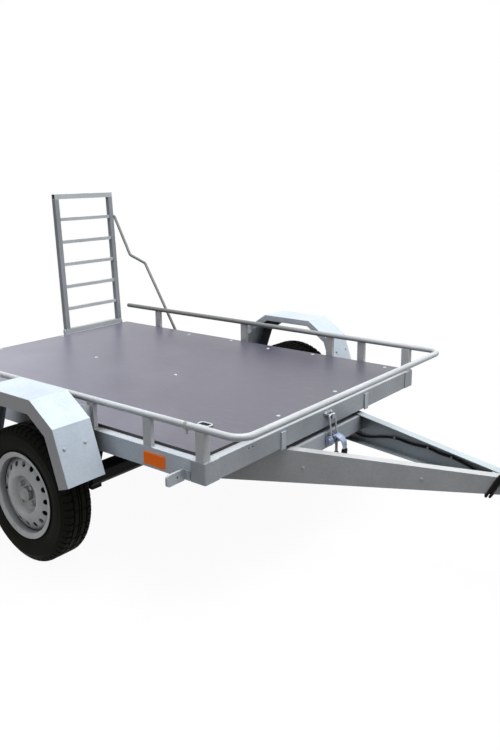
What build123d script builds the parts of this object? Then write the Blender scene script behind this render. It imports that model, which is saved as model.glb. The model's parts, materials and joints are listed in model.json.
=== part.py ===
# Flatbed utility trailer: a railed bed that tilts above one axle, a V drawbar and a ladder ramp
# Millimetres. Forward is +X, left is +Y, up is +Z and the ground is Z = 0.
# X is measured from the bed's front face, and SHIFT brings the origin to the middle of the whole length.
import math
import os

from build123d import *

os.makedirs("parts", exist_ok=True)

# Fits: a seam between seated pieces, and the room beside a moving piece
SEAM = 0.3
SIDE_PLAY = 2.0

# Bed frame and deck
HALF_W = 800.0
BED_L = 2130.0
FRAME_Z = 486.0
FRAME_H = 82.0
FLANGE = 40.0
SHEET = 3.0
BEARER_W = 50.0
BEARER_H = 60.0
END_BEARER = 430.0
DECK_T = 12.0
DECK_LAP = 20.0
FACE_HOLE_R = 4.5
FACE_HOLE_IN = 251.0
FACE_HOLE_PITCH = 22.0
FACE_HOLE_DROP = 17.0
CORNER_T = 4.0
CORNER_SIDE = 66.0
CORNER_FRONT = 74.0
CORNER_BEND = 6.0
TAB_GAP = 12.0
TAB_W = 30.0
TAB_T = 6.0
TAB_UP = 70.0
TAB_DOWN = 6.0

# Rail and posts, each post placed by its front edge
RAIL_H = 121.0
RAIL_R = 13.5
RAIL_WALL = 2.5
RAIL_AHEAD = 160.0
RAIL_SHORT = 16.0
RAIL_BEND = 65.0
POST_W = 40.0
POST_D = 20.0
CORNER_POST_D = 34.0
SADDLE = 8.0
FRONT_POST = 4.0
SECOND_POST = 272.0
GUARD_POST_RIGHT = 242.0
GUARD_POST_LEFT = 366.0
GUARD_POST_REAR = 244.0
LAST_POST = 320.0

# Side fittings
MARKER_BACK = 102.0
MARKER_T = 10.0
MARKER_H = 44.0
MARKER_UP = 16.0
MARKER_OUT = 88.0
MARKER_ROUND = 12.0
MARKER_FOOT = 30.0
MARKER_HOLE_OUT = 36.0
MARKER_HOLE_R = 4.5
REFLECTOR_BACK = 200.0
REFLECTOR_L = 108.0
REFLECTOR_H = 47.0
REFLECTOR_T = 5.0
REFLECTOR_UP = 13.0
LAMP_W = 220.0
LAMP_H = 82.0
LAMP_D = 46.0
LAMP_IN = 20.0
LAMP_OUT = 16.0
LAMP_ROUND = 8.0

# Wheels
AXLE_BACK = 837.0
TYRE_R = 288.0
TYRE_W = 148.0
TYRE_WALL = 11.0
TREAD_T = 13.0
SHOULDER = 14.0
SHOULDER_IN = 24.0
ARC_MID = 1.0 - math.sqrt(0.5)
WHEEL_GAP = 52.0
RIM_R = 182.5
RIM_LIP = 17.5
RIM_DROP = 15.0
RIM_INSET = 12.0
RIM_T = 4.0
RIM_BEND = 5.0
BOLT_FACE_R = 72.0
BOLT_FACE_OUT = 34.0
CROWN_R = 96.0
CROWN_HALF = 12.0
CROWN_H = 16.0
VENTS = 16
VENT_R = 9.0
VENT_RING = 131.0
HUB_R = 45.0
HUB_FLANGE_R = 66.0
HUB_FLANGE_T = 12.0
HUB_BORE = 30.0
HUB_IN = 76.0
CAP_R = 28.5
CAP_H = 32.0
CAP_ROUND = 10.0

# Mudguards, folded from sheet round the tyre
GUARD_GAP = 58.0
GUARD_W = 178.0
GUARD_CLEAR = 159.0
GUARD_TOP_IN = 131.0
GUARD_FALL = 91.0
GUARD_FOOT_OUT = 75.0
GUARD_FOOT_UP = 140.0
GUARD_LIP = 60.0
GUARD_HEM = 12.0
GUSSET_T = 3.0
GUSSET_H = 60.0
GUSSET_LOW = 42.0
GUSSET_FRONT = 30.0

# Axle beam, hangers and trailing arms
BEAM_AHEAD = 139.5
BEAM_DROP = 159.0
BEAM_D = 75.0
BEAM_H = 80.0
BEAM_CHAMFER = 18.0
BEAM_IN = 30.0
HANGER_IN = 40.0
HANGER_PITCH = 44.0
HANGER_T = 6.0
HANGER_TOP = 110.0
SADDLE_T = 15.0
SHAFT_R = 25.0
SHAFT_L = 130.0
ARM_OUT = 42.0
SWING_T = 28.0
SWING_BOSS_R = 40.0
SWING_EYE_R = 34.0
STUB_R = 15.0
STUB_OUT = 34.0

# Drawbar: two tapered channels from the tilt pivot to the nose
TILT_DROP = 45.0
REST_GAP = 15.0
ARM_SPREAD = 304.0
NOSE_X = 800.0
NOSE_HALF = 32.0
NOSE_FALL = 9.7
NOSE_H = 66.7
ARM_T = 4.0
ARM_FLANGE = 40.0
ARM_TAIL = 47.0
ARM_TAIL_H = 53.0
ARM_TAIL_L = 212.0
ARM_DEEP_BACK = 330.0
ARM_DEEP_H = 171.0
ARM_FRONT_H = 143.0
EYE_R = 26.0
EYE_W = 54.0
EYE_IN = 13.6
PIVOT_R = 8.0
CHEEK_R = 30.0
CHEEK_W = 68.0
CHEEK_T = 6.0
CROSS_X = 12.0
CROSS_D = 44.0
CROSS_H = 70.0
CROSS_DROP = 6.0
BUFFER_BACK = 40.0
BUFFER_L = 40.0
BUFFER_W = 24.0

# Tilt latch between the crosspiece and the bed
LATCH_W = 68.0
LATCH_H = 60.0
LATCH_PIN_AHEAD = 24.0
LATCH_PIN_R = 6.0
LATCH_CHEEK_Y = 9.0
LEVER_R = 6.0
LEVER_DROP = 64.0
KNOB_R = 11.0
BAIL_R = 4.0
BAIL_HALF = 22.0
BAIL_BEND = 10.0
HOOK_UP = 55.0
HOOK_AHEAD = 24.0
HOOK_W = 18.0
HOOK_T = 14.0

# Coupling for a 50 mm ball
TUBE_IN = 65.0
TUBE_OUT = 165.0
TUBE_WALL = 4.0
HEAD_LAP = 35.0
HEAD_T = 6.0
HEAD_R = 40.0
HEAD_ROUND = 8.0
BALL_AHEAD = 110.0
BALL_DROP = 13.0
BALL_R = 25.4
BALL_SKIRT = 19.0
GRIP_BACK = 85.0
GRIP_UP = 58.0
GRIP_R = 8.0
GRIP_W = 22.0

# Jockey wheel on the left of the coupling tube
JOCKEY_AHEAD = 80.0
JOCKEY_OUT = 70.0
JOCKEY_R = 100.0
JOCKEY_W = 60.0
JOCKEY_TRAIL = 42.0
JOCKEY_HUB_R = 40.0
JOCKEY_TREAD_R = 72.0
JOCKEY_WEB = 36.0
LEG_R = 24.0
LEG_WALL = 2.5
LEG_LOW = 46.0
LEG_HIGH = 254.0
INNER_WALL = 4.2
INNER_HIGH = 94.0
CLAMP_H = 52.0
CLAMP_W = 60.0
CLAMP_T = 10.0
CLAMP_BAR_R = 5.0
FORK_T = 4.0
FORK_GAP = 6.0
CROWN_GAP = 10.0
FORK_EYE_R = 18.0
AXLE_PIN_R = 8.0
CRANK_R = 7.0
CRANK_REACH = 110.0
CRANK_RISE = 72.0
CRANK_GRIP_R = 11.0

# Wiring lead and its parked plug
LEAD_R = 5.0
GROMMET_BACK = 125.0
GROMMET_DROP = 101.0
GROMMET_L = 8.0
PLUG_R = 19.0
PLUG_L = 60.0
PLUG_AHEAD = 38.0
PLUG_OUT = 32.0
PLUG_TAIL = 18.0
LEAD_TIGHT = 7.0
LEAD_TIGHT_DEG = 50.0

# Ladder ramp, hinged behind the bed, and its stay
RAMP_W = 462.0
RAMP_IN = 68.0
RAMP_H = 860.0
RAMP_LEAN_DEG = 2.84
RAMP_GAP = 16.0
RAMP_UP = 22.0
STILE = 30.0
STILE_WALL = 2.5
RUNG = 20.0
RUNG_COUNT = 7
HINGE_PIN_R = 5.0
HINGE_PIN_L = 28.0
LUG_T = 6.0
LUG_R = 13.0
LUG_DROP = 48.0
STAY_R = 9.0
STAY_BEND = 25.0
STAY_SIDE = 20.0
STAY_TURN = 12.0
STAY_UP = 705.0
STAY_UPPER_RUN = 140.0
STAY_UPPER_FALL = 253.0
STAY_JOG_RUN = 63.0
STAY_JOG_FALL = 58.0
STAY_LOWER_RUN = 284.0
STAY_OUT = 25.0
PEG_UP = 42.0
PEG_R = 8.0
PEG_L = 11.0
PEG_PLATE = 46.0

# Places that follow from the sizes
FRAME_TOP = FRAME_Z + FRAME_H
DECK_TOP = FRAME_TOP + DECK_T
BEARER_Z = FRAME_TOP - BEARER_H
RAIL_Z = FRAME_TOP + RAIL_H
RAIL_Y = HALF_W - RAIL_R
AXLE_X = -AXLE_BACK
AXLE_Z = TYRE_R
WHEEL_Y = HALF_W + WHEEL_GAP + TYRE_W / 2
SEAT_R = RIM_R - RIM_LIP
GUARD_Y0 = HALF_W + GUARD_GAP
GUARD_Y1 = GUARD_Y0 + GUARD_W
GUARD_TOP = AXLE_Z + TYRE_R + GUARD_CLEAR
BEAM_X = AXLE_X + BEAM_AHEAD
BEAM_Z = FRAME_Z - BEAM_DROP
TILT_X = AXLE_X
TILT_Z = FRAME_Z - TILT_DROP
ARM_Z = FRAME_Z - REST_GAP
SLOPE = (ARM_SPREAD - NOSE_HALF) / NOSE_X
SKEW = math.hypot(1.0, SLOPE)
TUBE_Z = ARM_Z - NOSE_FALL - NOSE_H / 2
TUBE_H = NOSE_H - 2 * (ARM_T + SEAM)
TUBE_HALF = NOSE_HALF - ARM_T * SKEW - SEAM
TUBE_END = NOSE_X + TUBE_OUT
HEAD_TOP = TUBE_Z + TUBE_H / 2 + HEAD_T
BALL = (TUBE_END + BALL_AHEAD, 0.0, TUBE_Z - BALL_DROP)
JOCKEY_X = NOSE_X + JOCKEY_AHEAD
JOCKEY_Y = TUBE_HALF + JOCKEY_OUT
CROWN_Z = 2 * JOCKEY_R + CROWN_GAP
RAMP_X = -BED_L - RAMP_GAP
RAMP_Z = FRAME_TOP + RAMP_UP
RAMP_Y1 = HALF_W - RAMP_IN
RAMP_Y0 = RAMP_Y1 - RAMP_W
LEAN = math.radians(RAMP_LEAN_DEG)
REAR_END = RAMP_X - RAMP_H * math.sin(LEAN) - STILE / 2 * math.cos(LEAN)
SHIFT = -(BALL[0] + HEAD_R + REAR_END) / 2


# Helpers for plain solids
def box(x0, x1, y0, y1, z0, z1):
    middle = ((x0 + x1) / 2, (y0 + y1) / 2, (z0 + z1) / 2)
    return Pos(*middle) * Box(abs(x1 - x0), abs(y1 - y0), abs(z1 - z0))


def rod(start, end, radius):
    a = Vector(*start)
    b = Vector(*end)
    return extrude(Plane(origin=a, z_dir=(b - a)) * Circle(radius), (b - a).length)


def bent_rod(points, radius, bends):
    path = FilletPolyline(*points, radius=bends)
    return sweep(Plane(origin=path @ 0, z_dir=path % 0) * Circle(radius), path=path)


def outline(points):
    return make_face(Polyline(*points, close=True))


def slab(sketch, y0, y1):
    # a sketch of X and Z, seen from the right, made solid from y0 to y1
    return extrude(Plane(origin=(0, y0, 0), x_dir=(1, 0, 0), z_dir=(0, -1, 0)) * sketch, amount=y0 - y1)


def wrapped(*sketches):
    edges = []
    for sketch in sketches:
        edges += sketch.edges()
    return make_hull(edges)


def mirror_y(solid):
    return mirror(solid, about=Plane.XZ)


def both(solid):
    return [solid, mirror_y(solid)]


def offset_line(points, distance):
    # the open line moved to its right-hand side, with mitred corners
    moved = []
    for i, (x, z) in enumerate(points):
        normals = []
        for (xa, za), (xb, zb) in zip(points[max(i - 1, 0):i + 1], points[max(i, 1):i + 2]):
            run = math.hypot(xb - xa, zb - za)
            normals.append(((zb - za) / run, (xa - xb) / run))
        nx = sum(n[0] for n in normals) / len(normals)
        nz = sum(n[1] for n in normals) / len(normals)
        scale = distance / (nx * nx + nz * nz)
        moved.append((x + nx * scale, z + nz * scale))
    return moved


def band(points, far, y0, y1):
    return slab(outline(list(points) + offset_line(points, far)[::-1]), y0, y1)


def save(name, solids):
    if not isinstance(solids, (list, tuple)):
        solids = [solids]
    pieces = []
    for item in solids:
        pieces.extend(item.solids())
    shape = pieces[0] if len(pieces) == 1 else Compound(pieces)
    export_step(Pos(SHIFT, 0, 0) * shape, "parts/" + name + ".step")


# Bed frame: channels along the sides and across the ends, tubes under the deck
def side_rail():
    solid = box(-BED_L + FLANGE, -FLANGE, -HALF_W, -HALF_W + FLANGE, FRAME_Z, FRAME_TOP)
    return solid - box(-BED_L, 0, -HALF_W + SHEET, -HALF_W + FLANGE, FRAME_Z + SHEET, FRAME_TOP - SHEET)


def crossbeam(face, inward):
    solid = box(face, face + inward * FLANGE, -HALF_W, HALF_W, FRAME_Z, FRAME_TOP)
    inner = HALF_W - SHEET
    return solid - box(
        face + inward * SHEET, face + inward * FLANGE, -inner, inner, FRAME_Z + SHEET, FRAME_TOP - SHEET
    )


def front_crossbeam():
    beam = crossbeam(0.0, -1)
    z = FRAME_TOP - FACE_HOLE_DROP
    for side in (-1, 1):
        for y in (HALF_W - FACE_HOLE_IN, HALF_W - FACE_HOLE_IN - FACE_HOLE_PITCH):
            beam -= rod((-2 * SHEET, side * y, z), (SHEET, side * y, z), FACE_HOLE_R)
    return beam


def bearer(x):
    x0, x1 = x - BEARER_W / 2, x + BEARER_W / 2
    reach, lip = HALF_W - SHEET, HALF_W - FLANGE
    tube = box(x0, x1, -reach, reach, BEARER_Z, FRAME_TOP)
    tube -= box(x0 + SHEET, x1 - SHEET, -reach, reach, BEARER_Z + SHEET, FRAME_TOP - SHEET)
    for side in (-1, 1):
        tube -= box(x0, x1, side * lip, side * reach, FRAME_TOP - SHEET, FRAME_TOP)
    return tube


def corner_plate():
    edge = -HALF_W - CORNER_T
    plate = box(-CORNER_SIDE, CORNER_T, edge, -HALF_W, FRAME_Z, FRAME_TOP)
    plate += box(0, CORNER_T, edge, -HALF_W + CORNER_FRONT, FRAME_Z, FRAME_TOP)
    corner = plate.edges().filter_by(Axis.Z).sort_by_distance((CORNER_T, edge, FRAME_Z))[0]
    return fillet(corner, CORNER_BEND)


right_rail = side_rail()
save("side_rail_right", right_rail)
save("side_rail_left", mirror_y(right_rail))
save("front_crossbeam", front_crossbeam())
save("rear_crossbeam", crossbeam(-BED_L, 1))
last_bearer = END_BEARER - BED_L
save("floor_bearers", [bearer(x) for x in (-END_BEARER, AXLE_X, (AXLE_X + last_bearer) / 2, last_bearer)])
deck_y = HALF_W - FLANGE
save("deck", box(-BED_L + DECK_LAP, -FLANGE, -deck_y, deck_y, FRAME_TOP, DECK_TOP))
save("corner_plates", both(corner_plate()))


# Rail: one tube bent round the front, on posts whose tops are cut to its curve
def rail_tube():
    rear = RAIL_SHORT - BED_L
    path = FilletPolyline(
        (rear, -RAIL_Y, RAIL_Z),
        (RAIL_AHEAD, -RAIL_Y, RAIL_Z),
        (RAIL_AHEAD, RAIL_Y, RAIL_Z),
        (rear, RAIL_Y, RAIL_Z),
        radius=RAIL_BEND,
    )
    ring = Circle(RAIL_R) - Circle(RAIL_R - RAIL_WALL)
    return sweep(Plane(origin=path @ 0, z_dir=path % 0) * ring, path=path)


# columns: front edge behind the bed's front face on the right, the same on the left, depth inward
POSTS = (
    (FRONT_POST, FRONT_POST, CORNER_POST_D),
    (SECOND_POST, SECOND_POST, POST_D),
    (AXLE_BACK - GUARD_POST_RIGHT, AXLE_BACK - GUARD_POST_LEFT, POST_D),
    (AXLE_BACK + GUARD_POST_REAR, AXLE_BACK + GUARD_POST_REAR, POST_D),
    (BED_L - LAST_POST, BED_L - LAST_POST, POST_D),
)


def post(back, side, depth):
    front, rear = -back, -back - POST_W
    y0, y1 = side * HALF_W, side * (HALF_W - depth)
    tube = box(rear, front, y0, y1, FRAME_TOP, RAIL_Z - SADDLE)
    tube -= box(rear + SHEET, front - SHEET, y0 - side * SHEET, y1 + side * SHEET, FRAME_TOP, RAIL_Z)
    y = side * RAIL_Y
    return tube - rod((rear - POST_W, y, RAIL_Z), (front + POST_W, y, RAIL_Z), RAIL_R)


save("rail_tube", rail_tube())
save("rail_posts_right", [post(right, -1, depth) for right, left, depth in POSTS])
save("rail_posts_left", [post(left, 1, depth) for right, left, depth in POSTS])


# Marker lamp brackets, side reflectors and rear lamps
def marker_bracket():
    x0, x1 = -MARKER_BACK - MARKER_T, -MARKER_BACK
    z = FRAME_Z + MARKER_UP
    tab = box(x0, x1, -HALF_W - MARKER_OUT, -HALF_W, z - MARKER_H / 2, z + MARKER_H / 2)
    tab = fillet(tab.edges().filter_by(Axis.X).group_by(Axis.Y)[0], MARKER_ROUND)
    tab += box(x0, x1 + MARKER_FOOT, -HALF_W - SHEET, -HALF_W, FRAME_Z, z + MARKER_H / 2)
    y = -HALF_W - MARKER_HOLE_OUT
    return tab - rod((x0 - SHEET, y, z), (x1 + SHEET, y, z), MARKER_HOLE_R)


def rear_lamp():
    lamp = box(
        -BED_L - LAMP_OUT,
        -BED_L - LAMP_OUT + LAMP_D,
        -HALF_W + LAMP_IN,
        -HALF_W + LAMP_IN + LAMP_W,
        FRAME_Z - LAMP_H,
        FRAME_Z,
    )
    return fillet(lamp.edges().filter_by(Axis.Z), LAMP_ROUND)


reflector = box(
    -REFLECTOR_BACK - REFLECTOR_L,
    -REFLECTOR_BACK,
    -HALF_W - REFLECTOR_T,
    -HALF_W,
    FRAME_Z + REFLECTOR_UP,
    FRAME_Z + REFLECTOR_UP + REFLECTOR_H,
)
save("marker_brackets", both(marker_bracket()))
save("side_reflectors", both(reflector))
save("rear_lamps", both(rear_lamp()))

# Mudguards: folded sheet with a deep outer lip and a narrow inner hem
# columns: distance from the axle along X, height
GUARD_HALF = (
    (TYRE_R + GUARD_FOOT_OUT, AXLE_Z + GUARD_FOOT_UP),
    (TYRE_R, GUARD_TOP - GUARD_FALL),
    (TYRE_R - GUARD_TOP_IN, GUARD_TOP),
)
GUARD = [(AXLE_X - r, z) for r, z in GUARD_HALF] + [(AXLE_X + r, z) for r, z in GUARD_HALF[::-1]]


def guard_height(x):
    for (xa, za), (xb, zb) in zip(GUARD, GUARD[1:]):
        if xa <= x <= xb:
            return za + (zb - za) * (x - xa) / (xb - xa)


def mudguard():
    guard = band(GUARD, SHEET, -GUARD_Y1, -GUARD_Y0)
    guard += band(GUARD, GUARD_LIP, -GUARD_Y1, -GUARD_Y1 + SHEET)
    return guard + band(GUARD, GUARD_HEM, -GUARD_Y0 - SHEET, -GUARD_Y0)


right_guard = mudguard()
save("mudguard_right", right_guard)
save("mudguard_left", mirror_y(right_guard))

# Mudguard gussets, from a post or from the side rail out to the hem
# columns: side (-1 right, 1 left), distance ahead of the axle, top of the seat on the post or rail
POST_SEAT = RAIL_Z - RAIL_R - SADDLE
GUSSETS = (
    (-1, GUARD_POST_RIGHT - POST_W / 2, POST_SEAT),
    (-1, -GUARD_POST_REAR - POST_W / 2, POST_SEAT),
    (1, -GUARD_POST_REAR - POST_W / 2, POST_SEAT),
    (1, TYRE_R + GUSSET_FRONT, FRAME_TOP - SADDLE),
)


def gusset(side, ahead, seat):
    x = AXLE_X + ahead
    top = guard_height(x) - SHEET
    corners = (
        (x, side * HALF_W, seat - GUSSET_H),
        (x, side * HALF_W, seat),
        (x, side * GUARD_Y0, top),
        (x, side * GUARD_Y0, top - GUSSET_LOW),
    )
    return extrude(outline(corners), amount=GUSSET_T, dir=(1, 0, 0))


save("mudguard_brackets", [gusset(*row) for row in GUSSETS])


# Axle: black beam, hangers under the side rails, trailing arms with stub shafts
def axle_beam():
    end = HALF_W - BEAM_IN
    section = chamfer(Rectangle(BEAM_D, BEAM_H).vertices(), BEAM_CHAMFER) - Circle(SHAFT_R + SEAM)
    return slab(Pos(BEAM_X, BEAM_Z) * section, -end, end)


def axle_hanger():
    top, flat = FRAME_Z - HANGER_T, BEAM_D / 2 - BEAM_CHAMFER
    high, low = BEAM_Z + BEAM_H / 2, BEAM_Z - BEAM_H / 2
    outer = -HALF_W + HANGER_IN
    inner = outer + HANGER_PITCH + HANGER_T
    plate = outline(
        [
            (BEAM_X - HANGER_TOP / 2, top),
            (BEAM_X + HANGER_TOP / 2, top),
            (BEAM_X + flat, high),
            (BEAM_X - flat, high),
        ]
    )
    hanger = box(BEAM_X - HANGER_TOP / 2, BEAM_X + HANGER_TOP / 2, -HALF_W + SHEET, inner, top, FRAME_Z)
    for y in (outer, outer + HANGER_PITCH):
        hanger += slab(plate, y, y + HANGER_T)
    saddle = box(BEAM_X - flat, BEAM_X + flat, outer, inner, low - SADDLE_T, low)
    return [hanger, saddle]


def swing_arm():
    face = -HALF_W - ARM_OUT
    boss = Pos(BEAM_X, BEAM_Z) * Circle(SWING_BOSS_R)
    eye = Pos(AXLE_X, AXLE_Z) * Circle(SWING_EYE_R)
    arm = slab(wrapped(boss, eye), face, face + SWING_T)
    arm += rod((BEAM_X, face, BEAM_Z), (BEAM_X, face + SHAFT_L, BEAM_Z), SHAFT_R)
    return arm + rod((AXLE_X, face, AXLE_Z), (AXLE_X, -WHEEL_Y - STUB_OUT, AXLE_Z), STUB_R)


save("axle_beam", axle_beam())
right_hanger = axle_hanger()
save("axle_brackets", right_hanger + [mirror_y(piece) for piece in right_hanger])
save("swing_arms", both(swing_arm()))


# Wheels: drawn as radius and distance outward from the wheel's middle, then turned about the axle
def turned(sketch, side):
    plane = Plane(origin=(AXLE_X, side * WHEEL_Y, AXLE_Z), x_dir=(1, 0, 0), z_dir=(0, 0, side))
    return revolve(plane * sketch, axis=Axis((AXLE_X, 0, AXLE_Z), (0, 1, 0)))


def thick(points):
    line = FilletPolyline(*points, radius=RIM_BEND)
    return make_face(offset(line, RIM_T, side=Side.LEFT))


def rim_barrel():
    half, drop = TYRE_W / 2 - RIM_INSET, SEAT_R - RIM_DROP
    return thick(
        [
            (RIM_R, -half - RIM_T),
            (SEAT_R, -half),
            (SEAT_R, -half / 2),
            (drop, -half / 4),
            (drop, half / 4),
            (SEAT_R, half / 2),
            (SEAT_R, half),
            (RIM_R, half + RIM_T),
        ]
    )


def rim_disc():
    crown = BOLT_FACE_OUT + CROWN_H
    return thick(
        [
            (HUB_BORE, BOLT_FACE_OUT),
            (BOLT_FACE_R, BOLT_FACE_OUT),
            (CROWN_R - CROWN_HALF, crown),
            (CROWN_R + CROWN_HALF, crown),
            (VENT_RING, BOLT_FACE_OUT),
            (SEAT_R - RIM_DROP - RIM_T / 2, BOLT_FACE_OUT - CROWN_H),
        ]
    )


def rim(side):
    wheel = turned(rim_barrel(), side) + turned(rim_disc(), side)
    plane = Plane(origin=(AXLE_X, side * WHEEL_Y, AXLE_Z), z_dir=(0, side, 0))
    vents = Sketch() + PolarLocations(VENT_RING, VENTS) * Circle(VENT_R)
    return wheel - extrude(plane * vents, amount=BOLT_FACE_OUT + CROWN_H)


def tyre_section():
    half, bulge = TYRE_W / 2, (RIM_R + TYRE_R) / 2
    seat, bead = TYRE_W / 2 - RIM_INSET, SEAT_R + SEAM
    tread = half - SHOULDER_IN
    side_top = (TYRE_R - SHOULDER, half - RIM_INSET)
    corner = (TYRE_R - SHOULDER * ARC_MID, half - RIM_INSET - SHOULDER * ARC_MID)
    rim_top = (RIM_R + RIM_T, seat + SEAM)
    toe = (bead, seat / 2 + RIM_T)
    inner_low = (bead + TYRE_WALL, seat / 2 + TYRE_WALL)
    inner_top = (TYRE_R - 2 * TREAD_T, half - SHOULDER_IN - SEAM)
    roof = TYRE_R - TREAD_T
    half_line = Line((TYRE_R, 0), (TYRE_R, tread))
    half_line += ThreePointArc((TYRE_R, tread), corner, side_top)
    half_line += ThreePointArc(side_top, (bulge, half), rim_top)
    half_line += Polyline(rim_top, (bead + RIM_BEND, seat - SEAM), (bead, seat - RIM_BEND), toe, inner_low)
    half_line += ThreePointArc(inner_low, (bulge, half - TYRE_WALL), inner_top)
    half_line += Polyline(inner_top, (roof, tread - TREAD_T), (roof, 0))
    return make_face((half_line + mirror(half_line, about=Plane.XZ)).edges())


def hub(side):
    cap = BOLT_FACE_OUT + CAP_H
    body = outline(
        [
            (STUB_R + SEAM, -HUB_IN),
            (HUB_R, -HUB_IN),
            (HUB_R, BOLT_FACE_OUT - HUB_FLANGE_T),
            (HUB_FLANGE_R, BOLT_FACE_OUT - HUB_FLANGE_T),
            (HUB_FLANGE_R, BOLT_FACE_OUT),
            (STUB_R + SEAM, BOLT_FACE_OUT),
        ]
    )
    cover = outline(
        [
            (0, BOLT_FACE_OUT + SIDE_PLAY),
            (STUB_R, BOLT_FACE_OUT + SIDE_PLAY),
            (STUB_R, BOLT_FACE_OUT),
            (CAP_R, BOLT_FACE_OUT),
            (CAP_R, cap - CAP_ROUND),
            (CAP_R - CAP_ROUND, cap),
            (0, cap),
        ]
    )
    return turned(body, side) + turned(cover, side)


for name, side in (("right", -1), ("left", 1)):
    save("rim_" + name, rim(side))
    save("tyre_" + name, turned(tyre_section(), side))
    save("hub_" + name, hub(side))


# Drawbar: each arm is a web with flanges along its tapered edges and an eye at the tilt pivot
def arm_y(x):
    return ARM_SPREAD - SLOPE * x


def arm_inner(x):
    return arm_y(x) - ARM_T * SKEW - SEAM


PIVOT_Y = arm_y(TILT_X) - EYE_IN
TAIL_X = TILT_X + ARM_TAIL
ARM_TOP = ((TAIL_X, ARM_Z), (0.0, ARM_Z), (NOSE_X, ARM_Z - NOSE_FALL))
ARM_LOW = (
    (TAIL_X, ARM_Z - ARM_TAIL_H),
    (TILT_X + ARM_TAIL_L, ARM_Z - ARM_TAIL_H),
    (-ARM_DEEP_BACK, ARM_Z - ARM_DEEP_H),
    (0.0, ARM_Z - ARM_FRONT_H),
    (NOSE_X, ARM_Z - NOSE_FALL - NOSE_H),
)


def arm_point(x, z):
    return (x, -arm_y(x), z)


def drawbar_arm():
    inward = (-SLOPE / SKEW, 1 / SKEW, 0)
    rim_line = ARM_TOP + ARM_LOW[::-1]
    arm = extrude(outline([arm_point(x, z) for x, z in rim_line]), amount=ARM_T, dir=inward)
    for edge, step in ((ARM_TOP, -ARM_T), (ARM_LOW, ARM_T)):
        for (xa, za), (xb, zb) in zip(edge, edge[1:]):
            strip = outline(
                [arm_point(xa, za), arm_point(xb, zb), arm_point(xb, zb + step), arm_point(xa, za + step)]
            )
            arm += extrude(strip, amount=ARM_FLANGE, dir=inward)
    arm -= box(0, NOSE_X, -SEAM / 2, HALF_W, 0, RAIL_Z)
    eye = Pos(TILT_X, TILT_Z) * Circle(EYE_R)
    root = Pos(TAIL_X, TILT_Z) * Rectangle(EYE_R, ARM_TAIL_H - 3 * ARM_T)
    arm += slab(wrapped(eye, root), -PIVOT_Y - EYE_W / 2, -PIVOT_Y + EYE_W / 2)
    return arm - slab(Pos(TILT_X, TILT_Z) * Circle(PIVOT_R + SEAM), -PIVOT_Y - EYE_W, -PIVOT_Y + EYE_W)


def pivot_bracket():
    pad = Pos(TILT_X, BEARER_Z - CHEEK_T / 2) * Rectangle(CHEEK_W, CHEEK_T)
    cheek = wrapped(Pos(TILT_X, TILT_Z) * Circle(CHEEK_R), pad)
    gap = EYE_W / 2 + SIDE_PLAY
    reach = gap + CHEEK_T + SIDE_PLAY
    bracket = slab(Pos(TILT_X, TILT_Z) * Circle(PIVOT_R), -PIVOT_Y - reach, -PIVOT_Y + reach)
    bracket += slab(cheek, -PIVOT_Y - gap - CHEEK_T, -PIVOT_Y - gap)
    return bracket + slab(cheek, -PIVOT_Y + gap, -PIVOT_Y + gap + CHEEK_T)


def crosspiece():
    x0, x1 = CROSS_X - CROSS_D, CROSS_X
    z0, z1 = ARM_Z - CROSS_DROP - CROSS_H, ARM_Z - CROSS_DROP
    beam = box(x0, x1, -ARM_SPREAD, ARM_SPREAD, z0, z1)
    beam -= box(x0, x1 - ARM_T, -ARM_SPREAD, ARM_SPREAD, z0 + ARM_T, z1 - ARM_T)
    ends = (x0 - CROSS_D, x1 + CROSS_D)
    for side in (-1, 1):
        cut = [(x, side * arm_inner(x)) for x in ends] + [(x, side * HALF_W) for x in ends[::-1]]
        beam -= extrude(Plane.XY.offset(z0) * outline(cut), amount=CROSS_H)
    return beam


right_arm = drawbar_arm()
save("drawbar_arm_right", right_arm)
save("drawbar_arm_left", mirror_y(right_arm))
save("pivot_brackets", both(pivot_bracket()))
save("drawbar_crosspiece", crosspiece())
buffer_y = -arm_y(-BUFFER_BACK) + ARM_FLANGE / 2
buffer = box(
    -BUFFER_BACK - BUFFER_L / 2,
    -BUFFER_BACK + BUFFER_L / 2,
    buffer_y - BUFFER_W / 2,
    buffer_y + BUFFER_W / 2,
    ARM_Z,
    FRAME_Z - SEAM,
)
save("rest_buffers", both(buffer))
tab_y = -arm_y(0.0) - TAB_GAP
save("guide_tabs", both(box(0, TAB_T, tab_y - TAB_W, tab_y, FRAME_Z - TAB_DOWN, FRAME_Z + TAB_UP)))

# Tilt latch: a hook on the bed holds the bail, and an over-centre lever on the crosspiece pulls it down
PIN_X = CROSS_X + LATCH_PIN_AHEAD
PIN_Z = ARM_Z - CROSS_DROP - CROSS_H / 2 + LATCH_PIN_R
HOOK_Z = FRAME_Z + HOOK_UP


def latch_striker():
    bar_x, bar_z = HOOK_AHEAD, HOOK_Z + BAIL_R + SEAM
    tip = bar_x + BAIL_R + SIDE_PLAY
    hook = outline(
        [
            (0, HOOK_Z - HOOK_T),
            (tip + BAIL_R, HOOK_Z - HOOK_T),
            (tip + BAIL_R, bar_z + BAIL_R),
            (tip, bar_z + BAIL_R),
            (tip, HOOK_Z),
            (TAB_T, HOOK_Z),
            (TAB_T, HOOK_Z + HOOK_T),
            (0, HOOK_Z + HOOK_T),
        ]
    )
    feet_z = PIN_Z + 2 * LATCH_PIN_R
    bail = bent_rod(
        [
            (PIN_X, -BAIL_HALF, feet_z),
            (bar_x, -BAIL_HALF, bar_z),
            (bar_x, BAIL_HALF, bar_z),
            (PIN_X, BAIL_HALF, feet_z),
        ],
        BAIL_R,
        BAIL_BEND,
    )
    return [slab(hook, -HOOK_W / 2, HOOK_W / 2), bail]


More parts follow.
